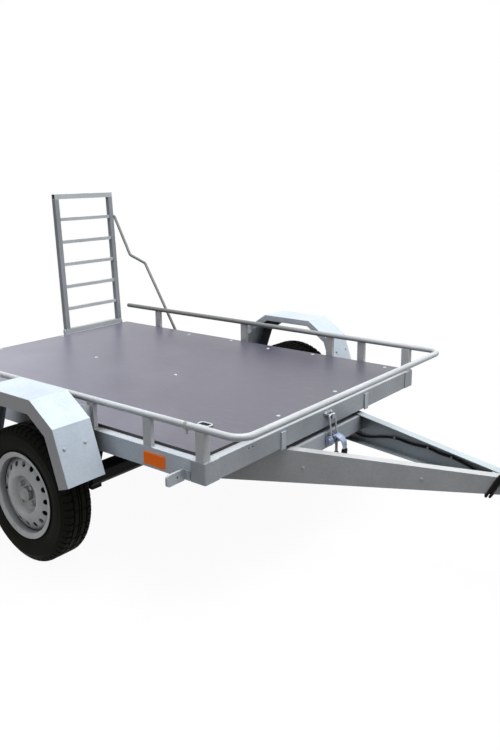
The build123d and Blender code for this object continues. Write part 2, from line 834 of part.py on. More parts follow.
def latch_lever():
    z0 = PIN_Z - LATCH_H / 2
    base = box(CROSS_X, CROSS_X + ARM_T, -LATCH_W / 2, LATCH_W / 2, z0, z0 + LATCH_H)
    foot = Pos(CROSS_X + ARM_T, PIN_Z) * Rectangle(2 * ARM_T, LATCH_H / 1.5)
    cheek = wrapped(Pos(PIN_X, PIN_Z) * Circle(2 * LATCH_PIN_R), foot)
    for y in (-LATCH_CHEEK_Y - ARM_T, LATCH_CHEEK_Y):
        base += slab(cheek, y, y + ARM_T)
    pin_y = LATCH_CHEEK_Y + 2 * ARM_T
    base += rod((PIN_X, -pin_y, PIN_Z), (PIN_X, pin_y, PIN_Z), LATCH_PIN_R)
    bend_x, low_z = PIN_X + 2 * LEVER_R, PIN_Z - LEVER_DROP
    route = [(PIN_X, 0, PIN_Z), (bend_x, 0, PIN_Z - 2 * LEVER_R), (bend_x, 0, low_z)]
    return base + bent_rod(route, LEVER_R, LEVER_R) + Pos(bend_x, 0, low_z) * Sphere(KNOB_R)


save("latch_striker", latch_striker())
save("latch_lever", latch_lever())


# Coupling: tube between the arms' ends, head with a socket for the ball, and its handle
def drawbar_nose():
    x0, z0, z1 = NOSE_X - TUBE_IN, TUBE_Z - TUBE_H / 2, TUBE_Z + TUBE_H / 2
    tube = box(x0, TUBE_END, -TUBE_HALF, TUBE_HALF, z0, z1)
    bore = TUBE_HALF - TUBE_WALL
    return tube - box(x0, TUBE_END, -bore, bore, z0 + TUBE_WALL, z1 - TUBE_WALL)


def coupling_head():
    rear, width = TUBE_END - HEAD_LAP, TUBE_HALF + HEAD_T
    low = TUBE_Z - TUBE_H / 2 - HEAD_T
    neck = Pos(TUBE_END + HEAD_T, 0) * Rectangle(2 * HEAD_T, 2 * width)
    plan = wrapped(neck, Pos(BALL[0], 0) * Circle(HEAD_R))
    body = extrude(Plane.XY.offset(BALL[2] - BALL_SKIRT) * plan, amount=HEAD_TOP - BALL[2] + BALL_SKIRT)
    body = fillet(body.faces().sort_by(Axis.Z)[-1].edges(), HEAD_ROUND)
    sleeve = box(rear, TUBE_END + 2 * HEAD_T, -width, width, low, HEAD_TOP)
    room = TUBE_HALF + SEAM
    sleeve -= box(rear, TUBE_END, -room, room, TUBE_Z - TUBE_H / 2 - SEAM, TUBE_Z + TUBE_H / 2 + SEAM)
    socket = Pos(*BALL) * Sphere(BALL_R) + rod(BALL, (BALL[0], 0, low - HEAD_T), BALL_R)
    return body + sleeve - socket


def coupling_handle():
    half = GRIP_W / 2
    seat = box(TUBE_END - HEAD_T, TUBE_END + HEAD_LAP, -half, half, HEAD_TOP, HEAD_TOP + 2 * GRIP_R)
    root = Pos(TUBE_END + GRIP_R, HEAD_TOP + GRIP_R) * Circle(GRIP_R)
    tip = Pos(TUBE_END - GRIP_BACK, HEAD_TOP + GRIP_UP) * Circle(GRIP_R)
    return seat + slab(wrapped(root, tip), -half, half)


save("drawbar_nose", drawbar_nose())
save("coupling_head", coupling_head())
save("coupling_handle", coupling_handle())


# Jockey wheel: clamp, telescopic leg, crank, castor fork and wheel
def at_leg(dx, dy, z):
    return (JOCKEY_X + dx, JOCKEY_Y + dy, z)


LEG_TOP = TUBE_Z + LEG_HIGH
INNER_R = LEG_R - LEG_WALL - SEAM
WHEEL_X = JOCKEY_X + JOCKEY_TRAIL


def jockey_clamp():
    z0, z1 = TUBE_Z - CLAMP_H / 2, TUBE_Z + CLAMP_H / 2
    clamp = box(JOCKEY_X - CLAMP_W / 2, JOCKEY_X + CLAMP_W / 2, TUBE_HALF, JOCKEY_Y, z0, z1)
    clamp += rod(at_leg(0, 0, z0), at_leg(0, 0, z1), LEG_R + CLAMP_T)
    clamp -= rod(at_leg(0, 0, z0 - CLAMP_T), at_leg(0, 0, z1 + CLAMP_T), LEG_R)
    end = LEG_R + CLAMP_W
    clamp += rod(at_leg(0, LEG_R + CLAMP_T / 2, TUBE_Z), at_leg(0, end, TUBE_Z), CRANK_R)
    bar_y = end - 2 * CLAMP_BAR_R
    return clamp + rod(at_leg(0, bar_y, z0), at_leg(0, bar_y, z1), CLAMP_BAR_R)


def tube_z(radius, wall, z0, z1):
    ends = (at_leg(0, 0, z0), at_leg(0, 0, z1))
    return rod(*ends, radius) - rod(*ends, radius - wall)


def jockey_crank():
    cap_t = 2 * CRANK_R
    crank = rod(at_leg(0, 0, TUBE_Z + CLAMP_H), at_leg(0, 0, LEG_TOP), AXLE_PIN_R)
    crank += rod(at_leg(0, 0, LEG_TOP), at_leg(0, 0, LEG_TOP + cap_t), LEG_R + SIDE_PLAY)
    level, top = LEG_TOP + 2 * cap_t, LEG_TOP + 2 * cap_t + CRANK_RISE
    route = [
        at_leg(0, 0, LEG_TOP + CRANK_R),
        at_leg(0, 0, level),
        at_leg(CRANK_REACH, 0, level),
        at_leg(CRANK_REACH, 0, top),
    ]
    crank += bent_rod(route, CRANK_R, 2 * CRANK_R)
    grip = (at_leg(CRANK_REACH, 0, level + 2 * CRANK_R), at_leg(CRANK_REACH, 0, top))
    return crank + rod(*grip, CRANK_GRIP_R)


def jockey_fork():
    inside = JOCKEY_W / 2 + FORK_GAP
    outside = inside + FORK_T
    rear, front = JOCKEY_X - LEG_R, WHEEL_X + FORK_EYE_R
    plate = Pos((rear + front) / 2, CROWN_Z + FORK_T / 2) * Rectangle(front - rear, FORK_T)
    fork = slab(plate, JOCKEY_Y - outside, JOCKEY_Y + outside)
    cheek = wrapped(Pos(WHEEL_X, JOCKEY_R) * Circle(FORK_EYE_R), plate)
    for y in (JOCKEY_Y - outside, JOCKEY_Y + inside):
        fork += slab(cheek, y, y + FORK_T)
    pin = outside + FORK_GAP
    return fork + rod((WHEEL_X, JOCKEY_Y - pin, JOCKEY_R), (WHEEL_X, JOCKEY_Y + pin, JOCKEY_R), AXLE_PIN_R)


def jockey_wheel():
    half, hub_r, tread, web = JOCKEY_W / 2, JOCKEY_HUB_R, JOCKEY_TREAD_R, JOCKEY_WEB / 2
    edge = [(AXLE_PIN_R + SEAM, half), (hub_r, half), (hub_r, web), (tread, web), (tread, half - SIDE_PLAY)]
    side_line = Polyline(*edge)
    shoulder = (JOCKEY_R, web)
    knee = ((tread + JOCKEY_R) / 2 + FORK_GAP, half - SIDE_PLAY)
    side_line += Line(edge[-1], knee) + Line(knee, shoulder)
    line = side_line + mirror(side_line, about=Plane.XZ)
    line += Line(shoulder, (JOCKEY_R, -web)) + Line(edge[0], (edge[0][0], -half))
    plane = Plane(origin=(WHEEL_X, JOCKEY_Y, JOCKEY_R), x_dir=(1, 0, 0), z_dir=(0, 0, 1))
    return revolve(plane * make_face(line.edges()), axis=Axis((WHEEL_X, 0, JOCKEY_R), (0, 1, 0)))


save("jockey_clamp", jockey_clamp())
save("jockey_outer_tube", tube_z(LEG_R, LEG_WALL, TUBE_Z - LEG_LOW, LEG_TOP))
save("jockey_inner_tube", tube_z(INNER_R, INNER_WALL, CROWN_Z + FORK_T + SEAM, TUBE_Z + INNER_HIGH))
save("jockey_crank", jockey_crank())
save("jockey_fork", jockey_fork())
save("jockey_wheel", jockey_wheel())

# Wiring lead: out of the left arm's web, clipped along it, twice round the nose and into the parked plug
GROMMET = (-GROMMET_BACK, arm_inner(-GROMMET_BACK), FRAME_Z - GROMMET_DROP)
LEAD = (
    (GROMMET[0] - GROMMET_L * SLOPE / SKEW, GROMMET[1] - GROMMET_L / SKEW, GROMMET[2]),
    (-106, 316, 381),
    (-58, 308, 371),
    (0, 289, 358),
    (62, 271, 369),
    (132, 248, 394),
    (217, 219, 416),
    (305, 188, 417),
    (405, 155, 431),
    (468, 133, 427),
    (530, 112, 432),
    (600, 88, 427),
    (656, 64, 419),
    (694, 32, 405),
    (716, 4, 388),
    (729, -30, 381),
    (739, -60, 380),
    (781, -45, 468),
    (786, 44, 468),
    (745, 58, 380),
    (752, -56, 380),
    (794, -41, 468),
    (806, -58, 446),
    (NOSE_X + PLUG_AHEAD - PLUG_TAIL, -TUBE_HALF - PLUG_OUT, TUBE_Z),
    (NOSE_X + PLUG_AHEAD - SEAM, -TUBE_HALF - PLUG_OUT, TUBE_Z),
)


def lead_bends():
    # each arc as large as its runs allow, and the corner's own size where the lead turns round the arms
    bends = []
    for a, b, c in zip(LEAD, LEAD[1:], LEAD[2:]):
        back, ahead = Vector(*b) - Vector(*a), Vector(*c) - Vector(*b)
        turn = math.radians(back.get_angle(ahead))
        largest = 0.45 * min(back.length, ahead.length) / math.tan(turn / 2)
        bends.append(LEAD_TIGHT if turn > math.radians(LEAD_TIGHT_DEG) else largest)
    return bends


def plug_holder():
    x0, y = NOSE_X + PLUG_AHEAD, -TUBE_HALF - PLUG_OUT
    holder = rod((x0, y, TUBE_Z), (x0 + PLUG_L, y, TUBE_Z), PLUG_R)
    holder += rod((x0 + PLUG_L / 2, y, TUBE_Z), (x0 + PLUG_L, y, TUBE_Z), PLUG_R + HEAD_T)
    return holder + box(x0 + PLUG_L / 2, x0 + PLUG_L, y, -TUBE_HALF, TUBE_Z - PLUG_R, TUBE_Z + PLUG_R)


bends = lead_bends()
print("lead radii:", [round(r) for r in bends])
save("wiring_lead", bent_rod(LEAD, LEAD_R, bends) + rod(GROMMET, LEAD[0], 2 * LEAD_R))
save("plug_holder", plug_holder())

# Ladder ramp: drawn upright about its hinge line, then leaned back
PITCH = (RAMP_H - STILE / 2) / (RUNG_COUNT - 1)


def leaned(solid):
    return Pos(RAMP_X, 0, RAMP_Z) * Rot(0, -RAMP_LEAN_DEG, 0) * solid


def square_tube(x, y, z, wall, along):
    # x, y and z are pairs of ends, and along names the open direction
    outer = box(*x, *y, *z)
    cut = {"x": x, "y": y, "z": z}
    for name, ends in cut.items():
        if name != along:
            cut[name] = (ends[0] + wall, ends[1] - wall)
    return outer - box(*cut["x"], *cut["y"], *cut["z"])


def ramp_stiles():
    half = (-STILE / 2, STILE / 2)
    rise = (STILE / 2, RAMP_H - STILE)
    sides = ((RAMP_Y0, RAMP_Y0 + STILE), (RAMP_Y1 - STILE, RAMP_Y1))
    return [leaned(square_tube(half, y, rise, STILE_WALL, "z")) for y in sides]


def ramp_rungs():
    half, thin = STILE / 2, RUNG / 2
    wide, between = (RAMP_Y0, RAMP_Y1), (RAMP_Y0 + STILE, RAMP_Y1 - STILE)
    low = square_tube((-half, half), wide, (-half, half), STILE_WALL, "y")
    bush = half - STILE_WALL
    for y0, y1 in ((RAMP_Y0, RAMP_Y0 + HINGE_PIN_L), (RAMP_Y1 - HINGE_PIN_L, RAMP_Y1)):
        low += box(-bush, bush, y0, y1, -bush, bush)
    low -= slab(Circle(HINGE_PIN_R + SEAM), RAMP_Y0, RAMP_Y1)
    top = square_tube((-half, half), wide, (RAMP_H - STILE, RAMP_H), STILE_WALL, "y")
    pieces = [low, top]
    for i in range(1, RUNG_COUNT - 1):
        z = i * PITCH
        pieces.append(square_tube((-thin, thin), between, (z - thin, z + thin), SIDE_PLAY, "y"))
    return [leaned(piece) for piece in pieces]


def ramp_lug(face, outward):
    # a plate beside the ramp, outward from the given end face, with the hinge pin through it
    near, far = face + outward * SIDE_PLAY, face + outward * (SIDE_PLAY + LUG_T)
    z1 = FRAME_TOP - SIDE_PLAY
    foot = Pos(-BED_L - LUG_T / 2, z1 - LUG_DROP / 2) * Rectangle(LUG_T, LUG_DROP)
    plate = slab(wrapped(foot, Pos(RAMP_X, RAMP_Z) * Circle(LUG_R)), near, far)
    tip = face - outward * HINGE_PIN_L
    return plate + rod((RAMP_X, far, RAMP_Z), (RAMP_X, tip, RAMP_Z), HINGE_PIN_R)


save("ramp_stiles", ramp_stiles())
save("ramp_rungs", ramp_rungs())
save("ramp_lugs", [ramp_lug(RAMP_Y0, -1), ramp_lug(RAMP_Y1, 1)])

# Ramp stay: round bar turned into the left stile, bent out past the rail and down beside its peg
STAY_Y0 = RAMP_Y1 + STAY_SIDE
STAY_Y1 = HALF_W + STAY_OUT
STAY_X = RAMP_X - STAY_UP * math.sin(LEAN)
STAY_Z = RAMP_Z + STAY_UP * math.cos(LEAN)
JOG_X = STAY_X + STAY_UPPER_RUN
JOG_Z = STAY_Z - STAY_UPPER_FALL
PEG_X = JOG_X + STAY_JOG_RUN + STAY_LOWER_RUN
PEG_Z = FRAME_Z + PEG_UP
stay_route = [
    (STAY_X, RAMP_Y1, STAY_Z),
    (STAY_X, STAY_Y0, STAY_Z),
    (JOG_X, STAY_Y0, JOG_Z),
    (JOG_X + STAY_JOG_RUN, STAY_Y1, JOG_Z - STAY_JOG_FALL),
    (PEG_X, STAY_Y1, PEG_Z),
]
save("ramp_stay", bent_rod(stay_route, STAY_R, [STAY_TURN, STAY_BEND, STAY_BEND]))
peg_half = PEG_PLATE / 2
peg = box(PEG_X - peg_half, PEG_X + peg_half, HALF_W, HALF_W + SHEET, PEG_Z - PEG_R, PEG_Z + peg_half)
save("stay_peg", peg + rod((PEG_X, HALF_W, PEG_Z), (PEG_X, HALF_W + PEG_L, PEG_Z), PEG_R))
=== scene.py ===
# Flatbed utility trailer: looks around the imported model
import json
import math

import bmesh
import bpy
from mathutils import Matrix, Vector


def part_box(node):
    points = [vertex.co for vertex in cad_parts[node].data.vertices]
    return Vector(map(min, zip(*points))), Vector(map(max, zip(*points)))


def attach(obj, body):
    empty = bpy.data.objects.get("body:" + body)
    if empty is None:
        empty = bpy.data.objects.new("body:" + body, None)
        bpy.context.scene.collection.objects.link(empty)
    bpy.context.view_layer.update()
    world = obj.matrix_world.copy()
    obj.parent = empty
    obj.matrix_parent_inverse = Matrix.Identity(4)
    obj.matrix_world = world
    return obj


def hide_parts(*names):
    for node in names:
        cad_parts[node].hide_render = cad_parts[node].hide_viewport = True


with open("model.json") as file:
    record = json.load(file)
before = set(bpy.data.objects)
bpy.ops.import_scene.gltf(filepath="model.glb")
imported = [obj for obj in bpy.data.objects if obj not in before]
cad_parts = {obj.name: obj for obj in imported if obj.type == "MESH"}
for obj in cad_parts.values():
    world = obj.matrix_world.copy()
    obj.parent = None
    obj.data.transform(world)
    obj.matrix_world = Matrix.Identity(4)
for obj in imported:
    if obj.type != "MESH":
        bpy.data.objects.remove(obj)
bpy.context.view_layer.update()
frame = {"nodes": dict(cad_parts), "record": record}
nodes = frame["nodes"]
scene = bpy.context.scene
scene.view_settings.view_transform = "Standard"

# Sizes in millimetres, with X from the bed's front face, as in the part's source
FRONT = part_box("front_crossbeam")[1].x
AXLE_X = -837.0
WHEEL_Y = 926.0
TYRE_R = 288.0
DECK_TOP = 580.0
FRAME_TOP = 568.0
RAIL_Y = 786.5
RAIL_Z = 689.0
RAMP = (-2146.0, 590.0)
RAMP_LEAN = math.radians(2.84)
AHEAD, LEFT, UP, DOWN = (1, 0, 0), (0, 1, 0), (0, 0, 1), (0, 0, -1)


def place(x, y, z):
    return Vector((FRONT + x / 1000, y / 1000, z / 1000))


# Camera at the photograph's viewing angle
CAMERA_AT = place(1678.4, -2644.4, 1582.0)
YAW, PITCH, ROLL = (math.radians(a) for a in (38.70, -12.04, -0.54))
LENS_MM = 35.913
SENSOR_MM = 36.0
SHIFT_X, SHIFT_Y = 0.00284, -0.05977
CLIP_END = 100.0


def add_camera():
    reach = math.cos(PITCH)
    forward = Vector((-math.sin(YAW) * reach, math.cos(YAW) * reach, math.sin(PITCH)))
    level = Vector((math.cos(YAW), math.sin(YAW), 0.0))
    up = level.cross(forward)
    right = level * math.cos(ROLL) + up * math.sin(ROLL)
    top = up * math.cos(ROLL) - level * math.sin(ROLL)
    data = bpy.data.cameras.new("camera")
    data.lens = LENS_MM
    data.sensor_width = SENSOR_MM
    data.sensor_fit = "AUTO"
    data.shift_x = SHIFT_X
    data.shift_y = SHIFT_Y
    data.clip_end = CLIP_END
    cam = bpy.data.objects.new("camera", data)
    turn = Matrix((right, top, -forward)).transposed()
    cam.matrix_world = Matrix.Translation(CAMERA_AT) @ turn.to_4x4()
    scene.collection.objects.link(cam)
    scene.camera = cam


add_camera()


# Node helpers
def material(name):
    mat = bpy.data.materials.new(name)
    mat.use_nodes = True
    return mat, mat.node_tree, mat.node_tree.nodes["Principled BSDF"]


def node(tree, kind, inputs=(), **settings):
    made = tree.nodes.new("ShaderNode" + kind)
    for key, value in settings.items():
        setattr(made, key, value)
    join(tree, made, inputs)
    return made


def join(tree, made, inputs):
    for key, value in dict(inputs).items():
        if isinstance(value, bpy.types.NodeSocket):
            tree.links.new(value, made.inputs[key])
        else:
            made.inputs[key].default_value = value


def ramp(tree, factor, stops):
    made = node(tree, "ValToRGB", {"Fac": factor})
    elements = made.color_ramp.elements
    while len(elements) < len(stops):
        elements.new(0.5)
    for element, (at, color) in zip(elements, stops):
        element.position = at
        element.color = (*color, 1)
    return made.outputs["Color"]


def mix(tree, factor, first, second, blend="MIX"):
    # the sockets' numbers are those of the node's colour inputs and output
    made = node(tree, "Mix", data_type="RGBA", blend_type=blend)
    join(tree, made, {0: factor, 6: first, 7: second})
    return made.outputs[2]


def spread(tree, value, low, high):
    made = node(tree, "MapRange", {"Value": value, "To Min": low, "To Max": high})
    return made.outputs["Result"]


def eased(tree, value, low, high, start=0.0, end=1.0):
    # smoothly from start to end, as a value goes from low to high
    inputs = {"Value": value, "From Min": low, "From Max": high, "To Min": start, "To Max": end}
    return node(tree, "MapRange", inputs, interpolation_type="SMOOTHSTEP").outputs["Result"]


def math_node(tree, operation, *values):
    made = node(tree, "Math", dict(enumerate(values)), operation=operation)
    return made.outputs["Value"]


def dot(tree, first, second):
    made = node(tree, "VectorMath", {0: first, 1: second}, operation="DOT_PRODUCT")
    return made.outputs["Value"]


def axis_of(tree, vector, axis):
    return node(tree, "SeparateXYZ", {"Vector": vector}).outputs[axis]


def where(tree):
    return node(tree, "TexCoord").outputs["Object"]


def facing(tree):
    return node(tree, "NewGeometry").outputs["Normal"]


def noise(tree, scale, detail, vector=None):
    at = where(tree) if vector is None else vector
    return node(tree, "TexNoise", {"Vector": at, "Scale": scale, "Detail": detail}).outputs["Fac"]


def wave(tree, direction, scale, distortion=0.0):
    inputs = {"Vector": where(tree), "Scale": scale, "Distortion": distortion}
    return node(tree, "TexWave", inputs, bands_direction=direction).outputs["Fac"]


def rounded(tree, radius):
    # a softened normal, and how far it turns from the true one along edges
    soft = node(tree, "Bevel", {"Radius": radius}, samples=6).outputs["Normal"]
    return soft, dot(tree, soft, facing(tree))


def painted_corner_shade(tree, color, reach, floor, clear):
    # painted shade: colour is darker where other parts stand close, as shade falls in corners and between
    # parts
    open_air = node(tree, "AmbientOcclusion", {"Distance": reach}, samples=6).outputs["AO"]
    painted_shade = ramp(tree, open_air, ((CORNER_SHADE_FULL, (floor,) * 3), (clear, WHITE)))
    return mix(tree, 1.0, color, painted_shade, "MULTIPLY")


def bump(tree, shader, height, strength, distance, normal=None):
    inputs = {"Height": height, "Strength": strength, "Distance": distance}
    if normal is not None:
        inputs["Normal"] = normal
    tree.links.new(node(tree, "Bump", inputs).outputs["Normal"], shader.inputs["Normal"])


# Colours and limits of the materials
BLACK, WHITE = (0, 0, 0), (1, 1, 1)
BRIGHT = (0.80, 0.83, 0.86)
RAIL_DARKER = (0.24, 0.245, 0.235, 1)
ARCH_DIRT_AND_SHADE = (0.075, 0.070, 0.066, 1)
FLANK_SHADE = (0.50, 0.49, 0.485, 1)
# painted shade on the rim's inner side, seen through the vents
RIM_INSIDE_SHADE = (0.014, 0.014, 0.014)
# openness at which the painted shade in corners is full, and at which it ends, on zinc and in the rim
CORNER_SHADE_FULL = 0.20
ZINC_CLEAR, ZINC_REACH = 0.62, 0.30
RIM_CLEAR, RIM_REACH, RIM_SHADE = 0.95, 0.06, 0.30
# how fast the rail's darkening and the deck's painted light change towards the tail
TAIL_SLOPE = 0.28
# distance from the axle at which the road dirt and painted shade beside the wheels begin to fade and have
# gone, in metres
ARCH_DARK_FADES, ARCH_DARK_GONE = 0.22, 0.34
# the rim's silver begins this far out from the wheel's middle
SILVER_FROM = 38.0
SPANGLE_SCALE = 140.0
WIRE_SCALE = 60.0
RIB_SCALE = 55.0
# columns: how far towards the painted light at the tail and the right-hand side, colour of the deck's film
DECK_FILM = (
    (0.10, (0.090, 0.087, 0.113)),
    (0.43, (0.106, 0.102, 0.134)),
    (0.70, (0.190, 0.184, 0.232)),
    (0.92, (0.320, 0.311, 0.380)),
)
DECK_PLIES = ((0.3, (0.010, 0.008, 0.008)), (0.7, (0.030, 0.024, 0.022)))
DECK_SCRATCH = (0.32, 0.31, 0.35, 1)


# Materials
def darker_rail_rear_left(tree, color):
    # the rail is darker on the left-hand side towards the tail
    toward = dot(tree, where(tree), (-TAIL_SLOPE, 0.62, 0.0))
    darker_share = math_node(tree, "ADD", toward, TAIL_SLOPE * FRONT)
    return mix(tree, eased(tree, darker_share, low=0.45, high=0.78), color, RAIL_DARKER)


def arch_dirt_and_shade(tree, color):
    # road dirt and painted shade from the guards on the frame beside the wheels
    ahead = axis_of(tree, where(tree), "X")
    off = math_node(tree, "ABSOLUTE", math_node(tree, "SUBTRACT", ahead, FRONT + AXLE_X / 1000))
    return mix(tree, eased(tree, off, ARCH_DARK_FADES, ARCH_DARK_GONE, 1.0, 0.0), color, ARCH_DIRT_AND_SHADE)


def shaded_flanks(tree, color):
    # painted shade: the guards' upright sides are darker than the plate that faces the sky
    across = math_node(tree, "ABSOLUTE", axis_of(tree, facing(tree), "Y"))
    return mix(tree, math_node(tree, "GREATER_THAN", across, 0.7), color, FLANK_SHADE)


def galvanised(name, low, high, edge, rough, painted_shade, darkening):
    mat, tree, shader = material(name)
    cells = {"Vector": where(tree), "Scale": SPANGLE_SCALE}
    spangle = node(tree, "TexVoronoi", cells).outputs["Color"]
    cloud = noise(tree, scale=4.0, detail=6.0)
    streaks = noise(tree, scale=55.0, detail=2.0)
    soft, flat = rounded(tree, radius=0.0018)
    tone = math_node(tree, "MULTIPLY_ADD", spangle, 0.22, cloud)
    color = ramp(tree, tone, ((0.40, low), (0.85, high)))
    # darkening: painted shade on the guards' upright sides, painted shade and road dirt beside the wheels,
    # a darker rail towards the tail
    if darkening is not None:
        color = darkening(tree, color)
    worn = ramp(tree, flat, ((0.86, WHITE), (0.995, BLACK)))
    base = mix(tree, worn, color, (*edge, 1))
    # painted shade darkens the zinc where other parts stand close
    join(tree, shader, {
        "Base Color": painted_corner_shade(tree, base, ZINC_REACH, painted_shade, ZINC_CLEAR),
        "Metallic": 0.06,
        "Specular IOR Level": 0.35,
        "Roughness": spread(tree, cloud, rough - 0.12, rough + 0.12),
    })
    bump(tree, shader, math_node(tree, "ADD", spangle, streaks), strength=0.06, distance=0.002, normal=soft)
    return mat


def deck_board():
    mat, tree, shader = material("deck_board")
    cloud = noise(tree, scale=2.5, detail=5.0)
    # painted light and reflection: the film is lighter towards the tail and the right-hand side, and darker
    # at the front and the far left, where the rails and the guard are reflected
    toward = dot(tree, where(tree), (-TAIL_SLOPE, -0.25, 0.0))
    drift = math_node(tree, "MULTIPLY_ADD", cloud, 0.35, TAIL_SLOPE * FRONT + 0.02)
    film = ramp(tree, math_node(tree, "ADD", toward, drift), DECK_FILM)
    drag = {"Vector": where(tree), "Scale": (4.0, 40.0, 1.0), "Rotation": (0, 0, 0.5)}
    scuff = noise(tree, scale=3.0, detail=4.0, vector=node(tree, "Mapping", drag).outputs["Vector"])
    scratched = ramp(tree, scuff, ((0.60, BLACK), (0.80, (0.35, 0.35, 0.35))))
    edge = ramp(tree, wave(tree, "Z", scale=140.0, distortion=0.6), DECK_PLIES)
    level = math_node(tree, "ABSOLUTE", axis_of(tree, facing(tree), "Z"))
    face = math_node(tree, "GREATER_THAN", level, 0.5)
    wires = [wave(tree, direction, WIRE_SCALE) for direction in "XY"]
    join(tree, shader, {
        "Base Color": mix(tree, face, edge, mix(tree, scratched, film, DECK_SCRATCH)),
        "Roughness": spread(tree, cloud, 0.30, 0.42),
        "Specular IOR Level": 0.55,
    })
    bump(tree, shader, math_node(tree, "MULTIPLY", *wires), strength=0.05, distance=0.0004)
    return mat


def outer_side(tree):
    # 1 on the wheel's outer side: faces turned outward, and the barrel in front of the disc
    across = axis_of(tree, where(tree), "Y")
    out = math_node(tree, "ABSOLUTE", across)
    sign = math_node(tree, "SIGN", across)
    outward = math_node(tree, "MULTIPLY", axis_of(tree, facing(tree), "Y"), sign)
    barrel = math_node(tree, "GREATER_THAN", out, (WHEEL_Y + SILVER_FROM) / 1000)
    front = math_node(tree, "MULTIPLY", barrel, math_node(tree, "GREATER_THAN", outward, -0.35))
    return math_node(tree, "MAXIMUM", front, math_node(tree, "GREATER_THAN", outward, 0.3))


def painted(name, low, high, edge, rough, metal, grain, shine, inside_shade):
    mat, tree, shader = material(name)
    cloud = noise(tree, scale=9.0, detail=5.0)
    fine = noise(tree, scale=grain, detail=3.0)
    soft, flat = rounded(tree, radius=0.0015)
    tone = math_node(tree, "MULTIPLY_ADD", fine, 0.3, cloud)
    color = ramp(tree, tone, ((0.45, low), (0.85, high)))
    worn = ramp(tree, flat, ((0.85, WHITE), (0.99, BLACK)))
    color = mix(tree, worn, color, (*edge, 1))
    # the rim's inner side is near black as painted shade seen through the vents, and its bowl and barrel
    # take painted shade in corners
    if inside_shade is not None:
        color = mix(tree, outer_side(tree), (*inside_shade, 1), color)
        color = painted_corner_shade(tree, color, RIM_REACH, RIM_SHADE, RIM_CLEAR)
    join(tree, shader, {
        "Base Color": color,
        "Metallic": metal,
        "Specular IOR Level": shine,
        "Roughness": spread(tree, fine, rough - 0.08, rough + 0.12),
    })
    bump(tree, shader, fine, strength=0.08, distance=0.001, normal=soft)
    return mat


def lens(name, low, high, glow):
    mat, tree, shader = material(name)
    ribs = [wave(tree, direction, RIB_SCALE) for direction in "XYZ"]
    cells = math_node(tree, "MULTIPLY", math_node(tree, "MULTIPLY", *ribs[:2]), ribs[2])
    join(tree, shader, {
        "Base Color": ramp(tree, cells, ((0.05, low), (0.6, high))),
        "Roughness": spread(tree, cells, 0.18, 0.32),
        "Specular IOR Level": 0.08,
        # painted glow: the lens shines back light like a lit reflector
        "Emission Color": (*high, 1),
        "Emission Strength": glow,
    })
    bump(tree, shader, cells, strength=0.25, distance=0.001)
    return mat


def rubber(name, low, high, rough):
    mat, tree, shader = material(name)
    dust = noise(tree, scale=6.0, detail=6.0)
    grain = noise(tree, scale=420.0, detail=2.0)
    join(tree, shader, {
        "Base Color": ramp(tree, dust, ((0.35, low), (0.80, high))),
        "Roughness": spread(tree, dust, rough - 0.10, rough + 0.15),
        "Specular IOR Level": 0.12,
    })
    bump(tree, shader, grain, strength=0.15, distance=0.0006)
    return mat


# columns: name, darkest and lightest zinc, worn edges, roughness, how dark the painted shade in corners
# goes, darkening
ZINC = (
    ("galvanised", (0.56, 0.595, 0.625), (0.70, 0.735, 0.765), BRIGHT, 0.40, 0.20, None),
    ("galvanised_dull", (0.26, 0.272, 0.285), (0.37, 0.382, 0.395), (0.5, 0.52, 0.54), 0.50, 0.20, None),
    ("galvanised_dark", (0.20, 0.21, 0.20), (0.31, 0.32, 0.31), (0.45, 0.46, 0.45), 0.55, 0.20, None),
    ("galvanised_grey", (0.42, 0.445, 0.465), (0.56, 0.585, 0.605), BRIGHT, 0.44, 0.20, None),
    ("galvanised_warm", (0.50, 0.505, 0.50), (0.64, 0.65, 0.645), BRIGHT, 0.44, 0.20, None),
    # bluer zinc with lighter corner shade: painted sky light on the left arm's channel
    ("galvanised_cool", (0.44, 0.495, 0.52), (0.58, 0.645, 0.675), BRIGHT, 0.44, 0.50, None),
    # lighter zinc: painted light on the guards' lips, whose faces turn from the light
    ("galvanised_pale", (0.64, 0.69, 0.735), (0.78, 0.83, 0.875), BRIGHT, 0.40, 0.35, None),
    ("galvanised_post", (0.64, 0.64, 0.625), (0.76, 0.76, 0.745), BRIGHT, 0.42, 0.35, None),
    ("galvanised_rung", (0.42, 0.45, 0.455), (0.56, 0.59, 0.595), BRIGHT, 0.44, 0.75, None),
    ("galvanised_frame", (0.64, 0.69, 0.735), (0.78, 0.83, 0.875), BRIGHT, 0.40, 0.35, arch_dirt_and_shade),
    ("galvanised_blue", (0.52, 0.595, 0.66), (0.66, 0.735, 0.80), BRIGHT, 0.38, 0.20, shaded_flanks),
    ("galvanised_rail", (0.52, 0.54, 0.55), (0.66, 0.68, 0.69), BRIGHT, 0.40, 0.20, darker_rail_rear_left),
)
# columns: name, darkest and lightest paint, worn edges, roughness, metallic, grain, shine, painted shade on
# the inner side
PAINT = (
    # near black: painted shade for the axle in the shade under the bed, and for the drum behind the disc
    (
        "axle_black", (0.004, 0.004, 0.005), (0.012, 0.012, 0.011), (0.03, 0.03, 0.03),
        0.60, 0.0, 180.0, 0.12, None,
    ),
    (
        "rim_silver", (0.48, 0.48, 0.47), (0.68, 0.68, 0.67), (0.74, 0.74, 0.73),
        0.40, 0.15, 220.0, 0.5, RIM_INSIDE_SHADE,
    ),
    (
        "latch_zinc", (0.26, 0.33, 0.52), (0.52, 0.60, 0.78), (0.85, 0.88, 0.95),
        0.30, 0.35, 90.0, 0.5, None,
    ),
    (
        "hub_steel", (0.30, 0.30, 0.29), (0.46, 0.46, 0.45), (0.6, 0.6, 0.6),
        0.40, 0.3, 140.0, 0.5, None,
    ),
)
